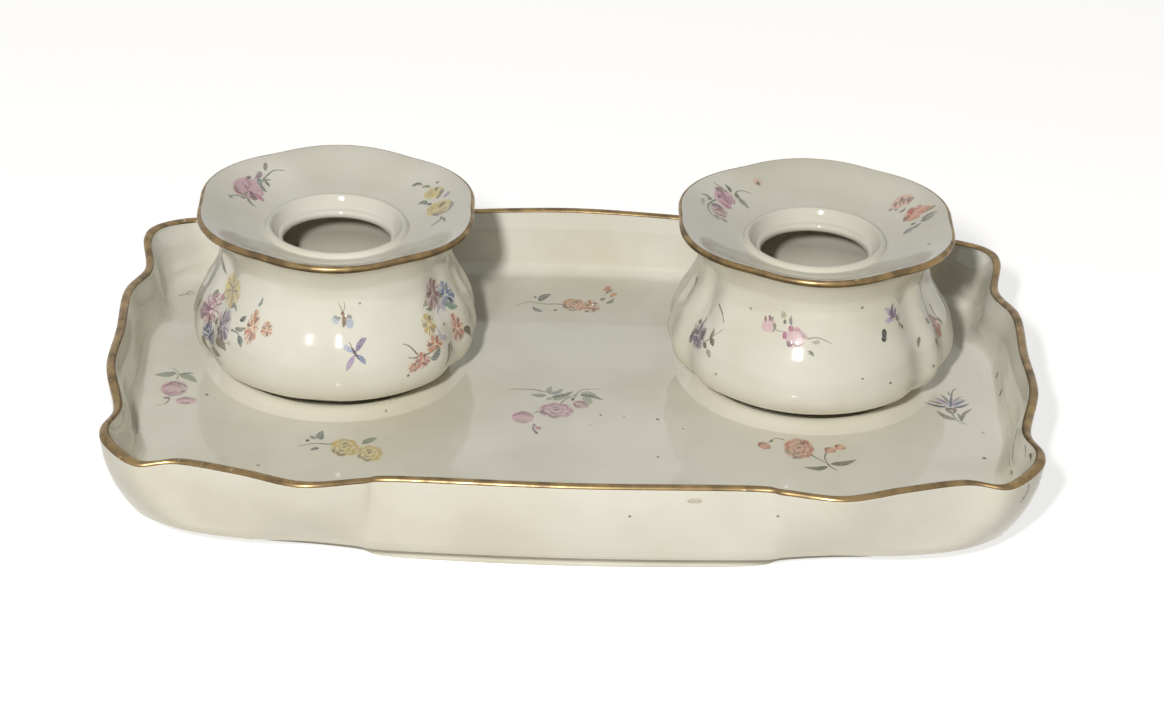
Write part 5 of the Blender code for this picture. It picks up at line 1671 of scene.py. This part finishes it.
@dataclass(frozen=True)
class Studio:
    """A plain pale table, one soft lamp beside the camera and an even surround."""

    focal_pixels: float = 3657.08
    image_width: int = 1164
    position: Vector = field(default_factory=lambda: Vector((-0.0157107, -0.8843910, 0.4958767)))
    yaw: float = 0.0206237
    pitch: float = 0.4892323
    roll: float = 0.0375632
    lamp_power: float = 9.8
    lamp_width: float = 0.050
    lamp_height: float = 0.080
    lamp_distance: float = 1.10
    lamp_azimuths: tuple[float, ...] = (9.5,)
    lamp_elevation: float = 33.0
    surround: float = 0.16
    table: str = "#D2CEC6"
    table_glow: float = 0.72

    def add_camera(self) -> None:
        """Place the camera where the photograph was taken from."""
        ahead = Vector((math.sin(self.yaw) * math.cos(self.pitch), math.cos(self.yaw) * math.cos(self.pitch),
                        -math.sin(self.pitch)))
        level = Vector((math.cos(self.yaw), -math.sin(self.yaw), 0.0))
        above = level.cross(ahead)
        across = math.cos(self.roll) * level + math.sin(self.roll) * above
        upward = math.cos(self.roll) * above - math.sin(self.roll) * level
        camera = bpy.data.objects.new("camera", bpy.data.cameras.new("camera"))
        camera.data.sensor_width = 36.0
        camera.data.lens = self.focal_pixels / self.image_width * 36.0
        camera.data.clip_start = 0.01
        camera.matrix_world = Matrix.Translation(self.position) @ Matrix(
            (across, upward, -ahead)).transposed().to_4x4()
        bpy.context.scene.collection.objects.link(camera)
        bpy.context.scene.camera = camera

    def add_lamps(self) -> None:
        """Hang the soft lamp to the left of the camera."""
        aim = Vector((0.0, 0.0, 0.03))
        tilt = math.radians(self.lamp_elevation)
        for index, azimuth in enumerate(self.lamp_azimuths):
            data = bpy.data.lights.new(f"soft_lamp_{index + 1}", "AREA")
            data.shape = "RECTANGLE"
            data.energy = self.lamp_power / len(self.lamp_azimuths)
            data.size = self.lamp_width
            data.size_y = self.lamp_height
            lamp = bpy.data.objects.new(data.name, data)
            side = math.radians(azimuth)
            way = Vector((-math.sin(side) * math.cos(tilt), -math.cos(side) * math.cos(tilt), math.sin(tilt)))
            lamp.location = aim + way * self.lamp_distance
            lamp.rotation_euler = (-way).to_track_quat("-Z", "Y").to_euler()
            bpy.context.scene.collection.objects.link(lamp)

    def add_surround(self) -> None:
        """Light the scene evenly; the surround looks white to the camera and in reflections."""
        world = bpy.data.worlds.new("surround")
        bpy.context.scene.world = world
        world.use_nodes = True
        tree = world.node_tree
        path = add_node(tree, "ShaderNodeLightPath")
        seen = add_node(tree, "ShaderNodeMath", {"operation": "MAXIMUM"},
                        links={0: path.outputs["Is Camera Ray"], 1: path.outputs["Is Glossy Ray"]})
        strength = add_node(tree, "ShaderNodeMapRange", values={"To Min": self.surround, "To Max": 1.0},
                            links={"Value": seen.outputs[0]})
        tree.links.new(strength.outputs[0], tree.nodes["Background"].inputs["Strength"])
        tree.nodes["Background"].inputs["Color"].default_value = (1.0, 1.0, 1.0, 1.0)

    def add_table(self) -> None:
        """Lay the white table; it keeps the shadow and looks near white to the camera."""
        mesh = bmesh.new()
        bmesh.ops.create_grid(mesh, x_segments=1, y_segments=1, size=4.0)
        data = bpy.data.meshes.new("table")
        mesh.to_mesh(data)
        mesh.free()
        material, tree, shader = new_material("matt_white_table", 0.9, 0.0)
        shader.inputs["Base Color"].default_value = linear(self.table)
        shader.inputs["Specular IOR Level"].default_value = 0.0
        path = add_node(tree, "ShaderNodeLightPath")
        seen = add_node(tree, "ShaderNodeMath", {"operation": "MAXIMUM"},
                        links={0: path.outputs["Is Camera Ray"], 1: path.outputs["Is Glossy Ray"]})
        glow = add_node(tree, "ShaderNodeMath", {"operation": "MULTIPLY"}, {1: self.table_glow}, {0: seen.outputs[0]})
        shader.inputs["Emission Color"].default_value = (1.0, 1.0, 1.0, 1.0)
        tree.links.new(glow.outputs[0], shader.inputs["Emission Strength"])
        data.materials.append(material)
        table = bpy.data.objects.new("table", data)
        bpy.context.scene.collection.objects.link(table)

    def build(self) -> None:
        """Set up camera, lamps, surround and table."""
        self.add_camera()
        self.add_lamps()
        self.add_surround()
        self.add_table()
        bpy.context.scene.view_settings.view_transform = "Standard"


def mount(piece: bpy.types.Object, body: str, node: str | None = None) -> None:
    """Fix a piece to a body of the part.

    Args:
        piece: The piece.
        body: The body that it rides on.
        node: The node that it stands for, or None.
    """
    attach(piece, body)
    if node:
        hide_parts(node)
    LOG.info("%s rides on %s with %d faces", piece.name, body, len(piece.data.polygons))


def paint(clay: bpy.types.Object, body: str, sprigs: tuple[Sprig, ...], enamel: bpy.types.Material,
          axis: Vector, reach: float, seed: int) -> None:
    """Paint the sprays on one body.

    Args:
        clay: Its glazed piece.
        body: The body that it rides on.
        sprigs: The sprays.
        enamel: The material of the strokes.
        axis: The foot of the axis that the sprays are set out from.
        reach: The radius at which millimetres round the axis are true.
        seed: The seed of the brush's unsteadiness.
    """
    shape = bmesh.new()
    shape.from_mesh(clay.data)
    brush = Brush(Canvas(BVHTree.FromBMesh(shape), axis, reach), seed)
    shape.free()
    for sprig in sprigs:
        brush.spray(sprig)
    mount(brush.finish(f"{body}_painting", enamel), body)


def main() -> None:
    """Build the inkstand and its studio."""
    logging.basicConfig(level=logging.INFO)
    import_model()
    Studio().build()
    glaze = Glaze().material()
    biscuit = UnglazedFoot().material()
    gilt = Gilding().material()
    enamel = OverglazeEnamel().material()
    tray_form = TrayForm()
    tray = tray_form.build([glaze, biscuit])
    mount(tray, "tray", "tray")
    mount(tray_form.build_gilding(gilt, 11), "tray", "tray_gilt_edge")
    paint(tray, "tray", TRAY_SPRIGS + CRACK_SPRIGS, enamel, Vector((0.0, 0.0, 0.0)), 124 * MM, 41)
    left = PotForm("left_pot", tray_form.pot_places[0],
                   ((-84.0, 0.45, 8.0), (-62.0, 1.00, 9.0), (-5.0, 0.35, 8.0), (62.0, 1.00, 9.0), (84.0, 1.10, 8.0)))
    right = PotForm("right_pot", tray_form.pot_places[1],
                    ((-84.0, 0.90, 7.0), (-63.0, 1.00, 8.0), (-38.0, 0.18, 12.0), (36.0, 0.18, 12.0),
                     (50.0, 1.00, 8.0), (70.0, 0.90, 7.0)))
    for seed, pot, sprigs in ((21, left, LEFT_POT_SPRIGS), (31, right, RIGHT_POT_SPRIGS)):
        clay = pot.build([glaze, biscuit])
        mount(clay, pot.name, pot.name)
        mount(pot.build_gilding(gilt, seed), pot.name, f"{pot.name}_gilt_edge")
        paint(clay, pot.name, sprigs, enamel, Vector((*pot.place.xy, pot.base)), 38 * MM, seed)


if __name__ == "__main__":
    main()
